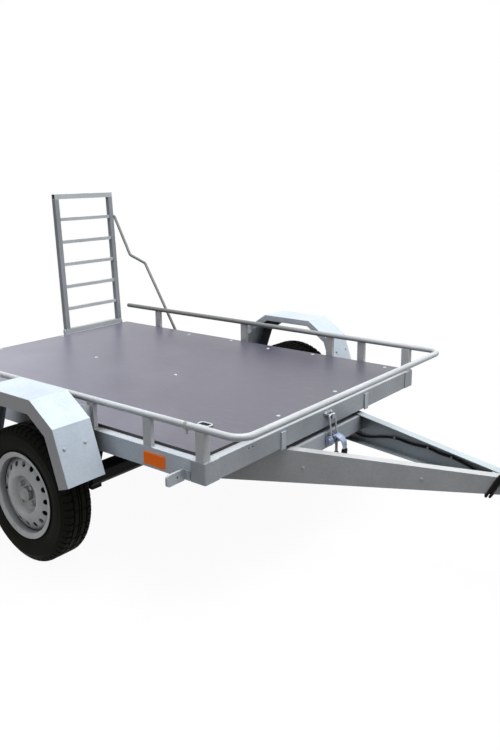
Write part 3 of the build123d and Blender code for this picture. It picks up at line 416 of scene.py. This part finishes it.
# columns: name, darkest and lightest colour, painted glow
LENSES = (
    ("amber_lens", (0.64, 0.092, 0.002), (0.87, 0.165, 0.004), 0.28),
    ("red_lens", (0.24, 0.006, 0.006), (0.46, 0.015, 0.012), 0.05),
)
# columns: name, clean and dusty colour, roughness
RUBBERS = (
    ("tyre_black", (0.005, 0.005, 0.004), (0.014, 0.013, 0.011), 0.80),
    ("solid_rubber", (0.014, 0.014, 0.014), (0.030, 0.029, 0.028), 0.70),
    ("cable_black", (0.009, 0.009, 0.010), (0.020, 0.020, 0.021), 0.50),
    ("plug_black", (0.012, 0.012, 0.013), (0.026, 0.026, 0.027), 0.45),
)
MATERIALS = {"deck_board": deck_board()}
for make, rows in ((galvanised, ZINC), (painted, PAINT), (lens, LENSES), (rubber, RUBBERS)):
    for row in rows:
        MATERIALS[row[0]] = make(*row)
# nodes whose zinc isn't the plain finish
FINISH = {
    "mudguard_right": "galvanised_blue",
    "mudguard_left": "galvanised_blue",
    "front_crossbeam": "galvanised_grey",
    "corner_plates": "galvanised_grey",
    "ramp_stiles": "galvanised_dull",
    "ramp_rungs": "galvanised_rung",
    "rail_tube": "galvanised_rail",
    "rail_posts_right": "galvanised_post",
    "rail_posts_left": "galvanised_post",
    "side_rail_right": "galvanised_frame",
    "side_rail_left": "galvanised_frame",
    "mudguard_brackets": "galvanised_pale",
    "ramp_stay": "galvanised_dark",
    "drawbar_arm_right": "galvanised_warm",
    "drawbar_arm_left": "galvanised_cool",
}
for entry in frame["record"]["subparts"]:
    cad = nodes[entry["node"]]
    cad.data.materials.clear()
    cad.data.materials.append(MATERIALS[FINISH.get(entry["node"], entry["material_slot"])])


# Mesh helpers: each adds to a bmesh, in millimetres
def skin(bm, rings, closed=False):
    pairs = list(zip(rings, rings[1:]))
    if closed:
        pairs.append((rings[-1], rings[0]))
    for low, high in pairs:
        count = max(len(low), len(high))
        for i in range(count):
            j = (i + 1) % count
            if len(low) == 1:
                bm.faces.new((low[0], high[j], high[i]))
            elif len(high) == 1:
                bm.faces.new((low[i], low[j], high[0]))
            else:
                bm.faces.new((low[i], low[j], high[j], high[i]))


def cap(bm, rings):
    for ring in (rings[0], rings[-1]):
        bm.faces.new(ring)


def circle(bm, at, axis, radius, steps):
    if radius < 1e-6:
        return [bm.verts.new(at)]
    side = axis.orthogonal().normalized()
    up = axis.cross(side)
    ring = []
    for i in range(steps):
        a = 2 * math.pi * i / steps
        ring.append(bm.verts.new(at + (side * math.cos(a) + up * math.sin(a)) * radius / 1000))
    return ring


def lathe(bm, profile, at, axis, steps):
    # columns of a profile: radius, height along the axis
    axis = Vector(axis).normalized()
    skin(bm, [circle(bm, at + axis * height / 1000, axis, radius, steps) for radius, height in profile])


def hex_bolt(bm, at, axis, across, height, washer):
    thick = 1.6
    lathe(bm, ((0, thick), (washer * 0.97, thick), (washer, 1.2), (washer, 0)), at, axis, steps=24)
    r = across / math.sqrt(3)
    lathe(bm, ((0, height), (r * 0.82, height), (r, height * 0.86), (r, thick)), at, axis, steps=6)


def tube(bm, points, radii, steps, closed=False):
    rings = []
    last = len(points) - 1
    for i, point in enumerate(points):
        before = points[i - 1] if i or closed else point
        after = points[(i + 1) % len(points)] if i < last or closed else point
        rings.append(circle(bm, point, (after - before).normalized(), radii[i], steps))
    skin(bm, rings, closed)
    if not closed:
        cap(bm, rings)


# a weld's ripples: length of a step, fewest steps, share of the radius, turn in a step
BEAD_STEP = 1.6
BEAD_STEPS_MIN = 6
BEAD_RIPPLE = 0.16
BEAD_TURN = 2.1


def weld(bm, start, end, radius):
    run = (end - start).length * 1000
    count = max(BEAD_STEPS_MIN, int(run / BEAD_STEP))
    points = [start.lerp(end, i / count) for i in range(count + 1)]
    radii = [radius * (1 + BEAD_RIPPLE * math.sin(i * BEAD_TURN)) for i in range(count + 1)]
    tube(bm, points, radii, steps=8)


def piece(name, bm, finish, body, angle=40):
    bmesh.ops.recalc_face_normals(bm, faces=bm.faces)
    mesh = bpy.data.meshes.new(name)
    bm.to_mesh(mesh)
    bm.free()
    mesh.shade_smooth()
    mesh.set_sharp_from_angle(angle=math.radians(angle))
    mesh.materials.append(MATERIALS[finish])
    made = bpy.data.objects.new(name, mesh)
    scene.collection.objects.link(made)
    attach(made, body)
    return made


def on_wheel(side, r, a, out):
    # a point of a wheel: radius, angle, distance outward from the wheel's middle
    return place(AXLE_X + r * math.cos(a), side * (WHEEL_Y + out), TYRE_R + r * math.sin(a))


# Tyres: tread ribs, shoulder blocks and sidewall rings on the solid's own section
BLOCKS = 56
SHOULDER_W = 34.0
SHOULDER_R = 268.0
SHOULDER_CUT = 6.0
RIB_W = 28.0
RIB_R = 284.0
RIB_CUT = 3.0
STAGGER = 0.5
# columns: radius, distance from the tyre's middle, from the bead to the crown
TYRE_SIDE = (
    (166.0, 42.0), (165.6, 54.0), (171.0, 61.0), (186.5, 62.6), (193.0, 65.8), (194.5, 68.0),
    (198.0, 68.2), (199.5, 67.6), (210.0, 70.8), (224.0, 73.2), (238.0, 74.0), (250.0, 72.6),
    (252.0, 73.2), (255.0, 72.8), (257.0, 71.0), (266.0, 67.2), (274.0, 62.0), (279.0, 59.0),
    (283.5, 56.0), (286.5, 53.0), (288.0, 49.5), (288.0, 35.5), (287.0, 34.5), (280.5, 33.5),
    (280.5, 28.5), (287.0, 27.5), (288.0, 26.5), (288.0, 10.0), (287.0, 9.0), (280.5, 8.0),
    (280.5, 3.5), (287.0, 2.5), (288.0, 1.5),
)
# columns: share of a block's pitch, depth of the cross groove there
GROOVE = ((0.0, 0.0), (0.70, 0.0), (0.74, 1.0), (0.96, 1.0))


def add_tyre(name, side):
    section = list(TYRE_SIDE) + [(r, -w) for r, w in TYRE_SIDE[::-1]]
    bm = bmesh.new()
    rings = []
    for block in range(BLOCKS):
        for share, depth in GROOVE:
            ring = []
            for r, w in section:
                shoulder = abs(w) >= SHOULDER_W
                cut = SHOULDER_CUT * depth if shoulder and r > SHOULDER_R else 0.0
                if abs(w) < RIB_W and r > RIB_R:
                    cut = RIB_CUT * depth * (block % 2)
                turn = block + share + (STAGGER if shoulder and w > 0 else 0.0)
                ring.append(bm.verts.new(on_wheel(side, r - cut, 2 * math.pi * turn / BLOCKS, w)))
            rings.append(ring)
    for i, ring in enumerate(rings):
        after = rings[(i + 1) % len(rings)]
        for j in range(len(section) - 1):
            bm.faces.new((ring[j], ring[j + 1], after[j + 1], after[j]))
    made = piece("tyre_tread_" + name, bm, "tyre_black", "wheel_" + name, angle=35)
    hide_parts("tyre_" + name)


# Rims: a closed barrel, and a dished disc with round vents, each in its own cell of the disc
# columns: radius, distance outward from the wheel's middle
BARREL_SIDE = (
    (150.0, 14.0), (152.0, 18.0), (163.0, 29.5), (165.0, 33.0), (165.0, 57.0), (165.2, 61.0),
    (170.0, 63.4), (182.5, 66.2), (184.6, 68.4), (184.6, 70.2), (183.0, 71.2), (180.5, 70.6),
    (168.0, 67.2), (162.6, 64.6), (161.0, 60.0), (161.0, 34.5), (159.5, 31.5), (148.0, 19.5),
    (146.0, 15.0),
)
DISC = (
    (30.0, 38.0), (64.0, 38.0), (68.5, 39.4), (71.5, 42.5), (79.5, 58.0), (83.0, 61.6),
    (87.5, 63.0), (96.0, 63.0), (102.0, 62.2), (110.0, 59.6), (117.0, 56.6), (131.0, 51.2),
    (145.0, 45.6), (151.0, 42.6), (156.0, 38.6), (161.0, 33.0),
)
DISC_T = 4.5
RIM_STEPS = 96
VENTS = 16
VENT_RING = 131.0
VENT_R = 11.5
VENT_ROUND = 1.3
# half of a cell's height, and the steps along its edges
CELL = 14.0
CELL_STEPS = 8
SIDE_STEPS = 4
# columns: share of the way from the hole to the cell's edge, hole's radius, depth below the face
VENT_LOOPS = (
    (1.0, VENT_R, DISC_T),
    (0.0, VENT_R, DISC_T),
    (0.0, VENT_R, VENT_ROUND),
    (0.0, VENT_R + VENT_ROUND, 0.0),
    (0.5, VENT_R + VENT_ROUND, 0.0),
    (1.0, VENT_R + VENT_ROUND, 0.0),
)


def turned(bm, profile, side, steps):
    axis = Vector((0, side, 0))
    hub = place(AXLE_X, side * WHEEL_Y, TYRE_R)
    skin(bm, [circle(bm, hub + axis * out / 1000, axis, r, steps) for r, out in profile], closed=True)


def disc_height(r):
    for (r0, out0), (r1, out1) in zip(DISC, DISC[1:]):
        if r <= r1:
            return out0 + (out1 - out0) * (r - r0) / (r1 - r0)
    return DISC[-1][1]


def cell_edge():
    # round a cell: share of its height and of its width, from -1 to 1
    along = [2 * i / CELL_STEPS - 1 for i in range(CELL_STEPS)]
    up = [2 * i / SIDE_STEPS - 1 for i in range(SIDE_STEPS)]
    edge = [(-1, q) for q in along] + [(p, 1) for p in up]
    return edge + [(1, -q) for q in along] + [(-p, -1) for p in up]


def add_rim(name, side):
    bm = bmesh.new()
    barrel = BARREL_SIDE + tuple((r, -out) for r, out in BARREL_SIDE[::-1])
    turned(bm, barrel, side, RIM_STEPS)
    half = VENT_RING * math.pi / VENTS

    def at(r, arc, drop):
        return bm.verts.new(on_wheel(side, r, arc / VENT_RING, disc_height(r) - drop))

    def ring(r, drop):
        count = VENTS * CELL_STEPS
        return [at(r, half * (2 * i / CELL_STEPS - 1), drop) for i in range(count)]

    inner = [r for r, out in DISC if r <= VENT_RING - CELL]
    outer = [r for r, out in DISC if r >= VENT_RING + CELL]
    skin(bm, [ring(r, DISC_T) for r in inner[::-1]] + [ring(r, 0) for r in inner])
    skin(bm, [ring(r, 0) for r in outer] + [ring(r, DISC_T) for r in outer[::-1]])
    edge = cell_edge()
    for vent in range(VENTS):
        rows = []
        for share, hole, drop in VENT_LOOPS:
            row = []
            for p, q in edge:
                a = math.atan2(p, q)
                up = hole * math.sin(a) * (1 - share) + CELL * p * share
                along = hole * math.cos(a) * (1 - share) + half * q * share
                row.append(at(VENT_RING + up, 2 * half * vent + along, drop))
            rows.append(row)
        skin(bm, rows)
    bmesh.ops.remove_doubles(bm, verts=bm.verts, dist=1e-5)
    made = piece("rim_pressing_" + name, bm, "rim_silver", "wheel_" + name, angle=30)
    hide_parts("rim_" + name)


# Wheel bolts, grease cap, the drum behind the disc, black to put painted shade in the vents, and the valve
BOLTS = 4
BOLT_RING = 50.0
BOLT_FACE = 38.0
CAP_FACE = 66.0
# columns of each profile: radius, height or distance outward
BOLT_SEAT = ((13.0, 0), (13.0, 2.0), (10.5, 5.0))
BOLT_HEAD = ((10.2, 4.0), (10.2, 14.0), (8.8, 16.0), (6.2, 16.0), (6.0, 13.5), (0, 13.5))
GREASE_CAP = ((17.0, 0), (16.4, 1.2), (14.5, 1.4), (13.8, 0.4), (0, 0.4))
DRUM = (
    (70.0, -44.0), (112.0, -44.0), (118.0, -40.0), (118.0, -30.0), (114.0, -28.0), (114.0, -2.0),
    (118.0, 0.0), (118.0, 6.0), (112.0, 12.0), (84.0, 12.0), (80.0, 17.0), (70.0, 17.0),
)
VALVE = ((7, 0), (7, 4), (5.2, 8), (4.4, 24), (5.2, 25), (5.2, 34), (4.4, 36), (0, 36))
# the valve's foot: distance behind the axle, outward and below it, and how far it leans forward
VALVE_BACK, VALVE_OUT, VALVE_DROP = 144.0, 24.0, 6.0
VALVE_LEAN = 0.45


def add_wheel_fittings(name, side):
    body = "wheel_" + name
    axis = (0, side, 0)
    bm = bmesh.new()
    for i in range(BOLTS):
        at = on_wheel(side, BOLT_RING, math.pi / 4 + i * 2 * math.pi / BOLTS, BOLT_FACE)
        lathe(bm, BOLT_SEAT, at, axis, steps=24)
        lathe(bm, BOLT_HEAD, at, axis, steps=6)
    lathe(bm, GREASE_CAP, place(AXLE_X, side * (WHEEL_Y + CAP_FACE), TYRE_R), axis, steps=32)
    piece("wheel_bolts_" + name, bm, "hub_steel", body)
    bm = bmesh.new()
    # the drum's black puts painted shade in the vents
    turned(bm, DRUM, side, steps=48)
    piece("drum_" + name, bm, "axle_black", body, angle=30)
    bm = bmesh.new()
    foot = place(AXLE_X - VALVE_BACK, side * (WHEEL_Y + VALVE_OUT), TYRE_R - VALVE_DROP)
    lathe(bm, VALVE, foot, (VALVE_LEAN, side, 0), steps=16)
    piece("valve_" + name, bm, "cable_black", body)


for name, side in (("right", -1), ("left", 1)):
    add_tyre(name, side)
    add_rim(name, side)
    add_wheel_fittings(name, side)

# Screws in the deck: distance from the bed's front face, distance to the left
DECK_SCREWS = (
    (-87, -243), (-86, 197), (-110, 715), (-564, 726), (-848, 693), (-1153, 726), (-1474, 700),
    (-881, -37), (-1486, -35), (-2085, -240), (-2085, 197), (-1153, -726), (-1474, -700),
)
SCREW = ((9.5, 0), (9.2, 1.4), (7.2, 2.8), (4.4, 3.4), (3.4, 3.5), (3.2, 2.2), (0, 2.2))
# Lashing ring in a shallow cup
RING_AT = (-254, -515)
RING_HALF = (30, 18)
RING_CORNER = 12
CORNER_STEPS = 4
RING_R = 4.0
RING_LIFT = 3
# columns: share of the ring's outline, height above the deck
CUP = ((0.92, 0.2), (0.88, 1.2), (0.5, 1.5))


def ring_outline():
    outline = []
    for i, (sx, sy) in enumerate(((1, 1), (-1, 1), (-1, -1), (1, -1))):
        for turn in range(CORNER_STEPS + 1):
            a = math.pi / 2 * (i + turn / CORNER_STEPS)
            dx = sx * (RING_HALF[0] - RING_CORNER) + RING_CORNER * math.cos(a)
            dy = sy * (RING_HALF[1] - RING_CORNER) + RING_CORNER * math.sin(a)
            outline.append((dx, dy))
    return outline


def add_deck_fittings():
    bm = bmesh.new()
    for x, y in DECK_SCREWS:
        lathe(bm, SCREW, place(x, y, DECK_TOP), UP, steps=20)
    piece("deck_screws", bm, "galvanised", "bed")
    outline = ring_outline()
    x, y = RING_AT
    bm = bmesh.new()
    line = [place(x + dx, y + dy, DECK_TOP + RING_LIFT) for dx, dy in outline]
    tube(bm, line, [RING_R] * len(line), steps=10, closed=True)
    piece("lashing_ring", bm, "galvanised", "bed")
    bm = bmesh.new()
    rings = []
    for share, height in CUP:
        points = [place(x + dx * share, y + dy * share, DECK_TOP + height) for dx, dy in outline]
        rings.append([bm.verts.new(point) for point in points])
    skin(bm, rings)
    bm.faces.new(rings[-1])
    piece("lashing_cup", bm, "cable_black", "bed")


add_deck_fittings()

# Bolts and screws in the zinc parts
FACET = (216.0, 0.0, 75.0)
WEB_RIGHT = (0.34, -1.0, 0.0)
WEB_LEFT = (0.34, 1.0, 0.0)
RIGHT = (0, -1, 0)
# columns: place, axis, width across flats, head's height, washer's radius
ZINC_BOLTS = {
    "bed": (
        ((-522, -908, 566), FACET, 9, 5, 8),
        ((-522, -1008, 566), FACET, 9, 5, 8),
        ((-522, 908, 566), FACET, 9, 5, 8),
        ((-522, 1008, 566), FACET, 9, 5, 8),
        ((-697.5, -738, 480), DOWN, 19, 10, 15),
        ((-697.5, 738, 480), DOWN, 19, 10, 15),
    ),
    "drawbar": (
        ((65, -281.9, 400), WEB_RIGHT, 10, 3, 8),
        ((510, -130.6, 416), WEB_RIGHT, 10, 3, 8),
        ((65, 281.9, 400), WEB_LEFT, 10, 3, 8),
        ((510, 130.6, 416), WEB_LEFT, 10, 3, 8),
        ((944, -33.5, 428), RIGHT, 19, 9, 14),
        ((944, 33.5, 428), LEFT, 19, 9, 14),
        ((980, -33.5, 440), RIGHT, 19, 9, 14),
        ((980, 33.5, 440), LEFT, 19, 9, 14),
    ),
}
for body, rows in ZINC_BOLTS.items():
    bm = bmesh.new()
    for at, axis, across, height, washer in rows:
        hex_bolt(bm, place(*at), axis, across, height, washer)
    piece("bolts_" + body, bm, "galvanised_warm", body, angle=25)

# Inner lips folded down along the mudguards
# columns: distance from the axle, height above the ground
GUARD = (
    (-363.0, 428.0), (-288.0, 644.0), (-157.0, 735.0), (157.0, 735.0), (288.0, 644.0), (363.0, 428.0),
)
GUARD_LIP = 32.0
LIP_Y = (856.4, 857.9)


def inset(points, depth):
    # the same line moved sideways, with its corners kept sharp
    normals = []
    for (x0, z0), (x1, z1) in zip(points, points[1:]):
        run = math.hypot(x1 - x0, z1 - z0)
        normals.append(((z1 - z0) / run, (x0 - x1) / run))
    moved = []
    for i, (x, z) in enumerate(points):
        before, after = normals[max(i - 1, 0)], normals[min(i, len(normals) - 1)]
        share = depth / (1 + before[0] * after[0] + before[1] * after[1])
        moved.append((x + (before[0] + after[0]) * share, z + (before[1] + after[1]) * share))
    return moved


def add_guard_lips():
    near, far = LIP_Y
    bm = bmesh.new()
    for side in (-1, 1):
        rings = []
        for (x0, z0), (x1, z1) in zip(GUARD, inset(GUARD, GUARD_LIP)):
            corners = ((x0, near, z0), (x1, near, z1), (x1, far, z1), (x0, far, z0))
            rings.append([bm.verts.new(place(AXLE_X + x, side * y, z)) for x, y, z in corners])
        skin(bm, rings)
        cap(bm, rings)
    piece("guard_lips", bm, "galvanised_pale", "bed", angle=20)


add_guard_lips()

# Latch: side cheeks, nuts on the pin, a pressed handle with a dark grip, and bolts of its hook
LATCH_PIN = (36.0, 436.0)
PIN = ((0, -29), (8, -29), (8, 29), (0, 29))
# columns: forward, height
LATCH_CHEEK = (
    (14, 406), (30, 408), (47, 418), (53, 430), (52, 442), (44, 452), (33, 456), (22, 452), (14, 446),
)
CHEEK_Y = (29.0, 33.0)
# columns: forward, height, half width, half thickness
HANDLE = (
    (40, 452, 17, 5), (56, 455, 19, 5.5), (74, 448, 19, 5.5), (86, 434, 17, 5), (90, 416, 14, 4.5),
    (90, 402, 12, 4.5),
)
GRIP = ((90, 404, 13.5, 7), (90, 398, 15, 9), (88, 382, 15.5, 10), (85, 366, 14.5, 9), (84, 361, 11, 6))
HOOK_BOLT = (3, 20, 548)


def bar(bm, stations):
    # a flat bar with rounded edges along a line in the trailer's middle plane
    rings = []
    last = len(stations) - 1
    for i, (x, z, half, thick) in enumerate(stations):
        x0, z0 = stations[max(i - 1, 0)][:2]
        x1, z1 = stations[min(i + 1, last)][:2]
        run = math.hypot(x1 - x0, z1 - z0)
        nx, nz = (z1 - z0) / run, (x0 - x1) / run
        soft = thick * 0.6
        section = (
            (half, thick - soft), (half - soft, thick), (soft - half, thick), (-half, thick - soft),
            (-half, soft - thick), (soft - half, -thick), (half - soft, -thick), (half, soft - thick),
        )
        rings.append([bm.verts.new(place(x + nx * t, y, z + nz * t)) for y, t in section])
    skin(bm, rings)
    cap(bm, rings)


def add_latch():
    bm = bmesh.new()
    x, z = LATCH_PIN
    for side in (-1, 1):
        rings = [[bm.verts.new(place(px, side * y, pz)) for px, pz in LATCH_CHEEK] for y in CHEEK_Y]
        skin(bm, rings)
        cap(bm, rings)
        hex_bolt(bm, place(x, side * CHEEK_Y[1], z), (0, side, 0), across=17, height=9, washer=13)
    lathe(bm, PIN, place(x, 0, z), LEFT, steps=20)
    bar(bm, HANDLE)
    piece("latch_toggle", bm, "latch_zinc", "drawbar", angle=35)
    bm = bmesh.new()
    bar(bm, GRIP)
    piece("latch_grip", bm, "plug_black", "drawbar", angle=50)
    bm = bmesh.new()
    x, y, z = HOOK_BOLT
    for side in (-1, 1):
        hex_bolt(bm, place(x, side * y, z), AHEAD, across=13, height=8, washer=11)
    piece("hook_bolts", bm, "galvanised", "bed", angle=25)


add_latch()

# Welds: posts on the frame, rungs in the stiles, crosspiece between the arms
# columns: side, front edges of the posts behind the bed's front face
POSTS = ((-1, (4, 272, 595, 1081, 1810)), (1, (4, 272, 471, 1081, 1810)))
POST_W = 40
POST_OUT = 799
POST_IN = 780
# the front corner's post is deeper than the others
CORNER_FRONT = 4
CORNER_IN = 766
POST_BEAD = 2.0
RUNGS = range(1, 6)
RUNG_PITCH = 845.0 / 6
RUNG_ENDS = (300, 702)
RUNG_HALF = 10
RUNG_BEAD_HALF = 9
RUNG_BEAD = 1.8
# columns: start, end, on the left-hand side
CROSS_WELDS = (
    ((12, 295.4, 396), (12, 295.4, 464)),
    ((-30, 309.7, 465), (11, 295.7, 465)),
)
CROSS_BEAD = 2.2


def on_ramp(dx, y, dz):
    x = RAMP[0] + dx * math.cos(RAMP_LEAN) - dz * math.sin(RAMP_LEAN)
    return place(x, y, RAMP[1] + dz * math.cos(RAMP_LEAN) + dx * math.sin(RAMP_LEAN))


def mirrored(at, side):
    x, y, z = at
    return place(x, side * y, z)


def add_welds():
    bm = bmesh.new()
    for side, fronts in POSTS:
        for front in fronts:
            inner = side * (CORNER_IN if front == CORNER_FRONT else POST_IN)
            ahead, behind = place(-front, inner, FRAME_TOP), place(-front - POST_W, inner, FRAME_TOP)
            weld(bm, behind, ahead, POST_BEAD)
            for corner in (ahead, behind):
                outer = Vector((corner.x, side * POST_OUT / 1000, corner.z))
                weld(bm, outer, corner, POST_BEAD)
    piece("welds_bed", bm, "galvanised", "bed", angle=60)
    bm = bmesh.new()
    for i in RUNGS:
        low, high = i * RUNG_PITCH - RUNG_BEAD_HALF, i * RUNG_PITCH + RUNG_BEAD_HALF
        for y in RUNG_ENDS:
            for dx in (-RUNG_HALF, RUNG_HALF):
                weld(bm, on_ramp(dx, y, low), on_ramp(dx, y, high), RUNG_BEAD)
    piece("welds_ramp", bm, "galvanised_dull", "ramp", angle=60)
    bm = bmesh.new()
    for side in (-1, 1):
        for start, end in CROSS_WELDS:
            weld(bm, mirrored(start, side), mirrored(end, side), CROSS_BEAD)
    piece("welds_drawbar", bm, "galvanised", "drawbar", angle=60)


add_welds()

# Small fittings: rail ends, a clip on the rail, grips of the crank and the latch, clips on the lead
RAIL_REAR = -2114
RAIL_END = ((13.4, -4), (13.4, 1), (12.4, 3), (9.0, 4.5), (0, 5))
CLIP_X = -103
CLIP = ((13.6, 0), (15.4, 0.5), (15.4, 13.5), (13.6, 14))
CLIP_SCREW_X = -96
CLIP_SCREW = ((0, 34), (2.6, 34), (3.4, 32), (3.4, 20), (6.5, 20), (6.5, 14))
CRANK_GRIP_AT = (990, 97.475, 723)
GRIP_R = 11.3
GRIP_RIDGE_R = 11.9
GRIP_RIDGES = 9
GRIP_PITCH = 6
GRIP_END = [(10.5, 58.5), (0, 59)]
KNOB_AT = (48, 0, 372)
KNOB_R = 11.5
KNOB_STEPS = 12
# columns: place on the lead, direction of the lead there
LEAD_TIES = (
    ((217, 219, 416), (88, -31, 1)),
    ((405, 155, 431), (63, -22, -4)),
    ((530, 112, 432), (70, -24, -5)),
)
TIE = ((5.1, -5.0), (6.3, -4.6), (6.3, 4.6), (5.1, 5.0))


def add_small_fittings():
    bm = bmesh.new()
    for side in (-1, 1):
        lathe(bm, RAIL_END, place(RAIL_REAR, side * RAIL_Y, RAIL_Z), (-1, 0, 0), steps=28)
    piece("rail_ends", bm, "plug_black", "bed")
    bm = bmesh.new()
    lathe(bm, CLIP, place(CLIP_X, -RAIL_Y, RAIL_Z), AHEAD, steps=28)
    lathe(bm, CLIP_SCREW, place(CLIP_SCREW_X, -RAIL_Y, RAIL_Z), DOWN, steps=14)
    piece("rail_clip", bm, "hub_steel", "bed")
    bm = bmesh.new()
    grip = [(GRIP_R, 0)]
    for i in range(GRIP_RIDGES):
        foot = GRIP_PITCH * i
        grip += [(GRIP_RIDGE_R, foot + 2), (GRIP_RIDGE_R, foot + 5), (GRIP_R, foot + 6.5)]
    lathe(bm, grip + GRIP_END, place(*CRANK_GRIP_AT), UP, steps=28)
    turns = [i * math.pi / KNOB_STEPS for i in range(KNOB_STEPS + 1)]
    knob = [(KNOB_R * math.sin(a), -KNOB_R * math.cos(a)) for a in turns]
    lathe(bm, knob, place(*KNOB_AT), UP, steps=24)
    piece("grips", bm, "plug_black", "drawbar")
    bm = bmesh.new()
    for at, axis in LEAD_TIES:
        lathe(bm, TIE, place(*at), axis, steps=20)
    piece("lead_ties", bm, "galvanised", "drawbar")


add_small_fittings()

# Rear lamps: an amber and a red lens on each side, with raised ribs
# columns: finish, inner and outer end
LAMP_ENDS = (("amber_lens", 700.0, 774.0), ("red_lens", 566.0, 696.0))
LAMP_X = -2146
LAMP_Z = (410, 480)
# columns: distance in from the edge, distance behind the lamp's body
LAMP_EDGE = ((0, 0), (0, 4), (2, 6.5), (8, 7.5))
LAMP_RIBS = 6
LAMP_RIB_X = -2153.2
LAMP_RIB_Z = 424
LAMP_RIB_PITCH = 8.5
LAMP_RIB_IN = 10
LAMP_RIB_R = 1.8


def add_lamps():
    for finish, y0, y1 in LAMP_ENDS:
        bm = bmesh.new()
        for side in (-1, 1):
            rings = []
            for step, out in LAMP_EDGE:
                ends = (y0 + step, y1 - step)
                low, high = LAMP_Z[0] + step, LAMP_Z[1] - step
                edge = ((ends[0], low), (ends[1], low), (ends[1], high), (ends[0], high))
                rings.append([bm.verts.new(place(LAMP_X - out, side * y, z)) for y, z in edge])
            skin(bm, rings)
            bm.faces.new(rings[-1])
            for i in range(LAMP_RIBS):
                z = LAMP_RIB_Z + LAMP_RIB_PITCH * i
                ends = (y0 + LAMP_RIB_IN, y1 - LAMP_RIB_IN)
                tube(bm, [place(LAMP_RIB_X, side * y, z) for y in ends], [LAMP_RIB_R] * 2, steps=8)
        piece("lamp_" + finish, bm, finish, "bed", angle=30)


add_lamps()

# Floor, world and lamps
FLOOR_HALF = 30.0
# the floor's own colour, as it lights the object and as it is seen
FLOOR_LIT = (0.12, 0.12, 0.12)
FLOOR_SEEN = (0.95, 0.95, 0.95)
# the floor goes from nearly white to white between these distances from the middle, in metres
FLOOR_NEAR, FLOOR_FAR = 1.8, 3.2
FLOOR_WHITE = 0.95
PURE_WHITE = (1, 1, 1, 1)
SKY_FROM = (0.24, 0.10, 0.966)
# columns: share towards the sky's brightest point, colour
SKY = ((0.0, (0.045, 0.045, 0.05)), (0.40, (0.13, 0.145, 0.17)), (1.0, (0.80, 0.85, 0.93)))
# columns: name, place, power, size
LAMPS = (
    ("top", (0.9, 0.3, 6.5), 400, 4.0),
    ("key", (5.5, -0.6, 4.2), 14, 3.0),
)
AIM = Vector((0, 0, 0.5))


def seen_rays(tree):
    path = node(tree, "LightPath").outputs
    seen = math_node(tree, "MAXIMUM", path["Is Camera Ray"], path["Is Glossy Ray"])
    return math_node(tree, "MAXIMUM", seen, path["Is Transmission Ray"])


def floor_material():
    mat, tree, shader = material("floor_white")
    tree.nodes.remove(shader)
    seen = seen_rays(tree)
    pale = ramp(tree, seen, ((0.0, FLOOR_LIT), (1.0, FLOOR_SEEN)))
    shade = node(tree, "BsdfDiffuse", {"Color": pale}).outputs["BSDF"]
    glow = node(tree, "Emission", {"Color": PURE_WHITE, "Strength": 1.0}).outputs["Emission"]
    far = node(tree, "VectorMath", {0: where(tree)}, operation="LENGTH").outputs["Value"]
    white = eased(tree, far, FLOOR_NEAR, FLOOR_FAR, FLOOR_WHITE, 1.0)
    factor = math_node(tree, "MULTIPLY", seen, white)
    both = node(tree, "MixShader", {0: factor, 1: shade, 2: glow}).outputs["Shader"]
    tree.links.new(both, tree.nodes["Material Output"].inputs["Surface"])
    return mat


def add_floor():
    half = FLOOR_HALF
    corners = [(-half, -half, 0), (half, -half, 0), (half, half, 0), (-half, half, 0)]
    mesh = bpy.data.meshes.new("floor")
    mesh.from_pydata(corners, [], [(0, 1, 2, 3)])
    mesh.materials.append(floor_material())
    floor = bpy.data.objects.new("floor", mesh)
    scene.collection.objects.link(floor)


def add_world():
    world = bpy.data.worlds.new("studio")
    world.use_nodes = True
    tree = world.node_tree
    up = dot(tree, node(tree, "TexCoord").outputs["Generated"], SKY_FROM)
    lit = tree.nodes["Background"]
    join(tree, lit, {"Color": ramp(tree, up, SKY), "Strength": 1.0})
    white = node(tree, "Background", {"Color": PURE_WHITE, "Strength": 1.0})
    inputs = {0: seen_rays(tree), 1: lit.outputs["Background"], 2: white.outputs["Background"]}
    both = node(tree, "MixShader", inputs).outputs["Shader"]
    tree.links.new(both, tree.nodes["World Output"].inputs["Surface"])
    scene.world = world


def add_lights():
    for name, at, power, size in LAMPS:
        data = bpy.data.lights.new(name, "AREA")
        data.energy = power
        data.size = size
        lamp = bpy.data.objects.new(name, data)
        lamp.location = at
        lamp.rotation_euler = (AIM - Vector(at)).to_track_quat("-Z", "Y").to_euler()
        scene.collection.objects.link(lamp)


add_floor()
add_world()
add_lights()
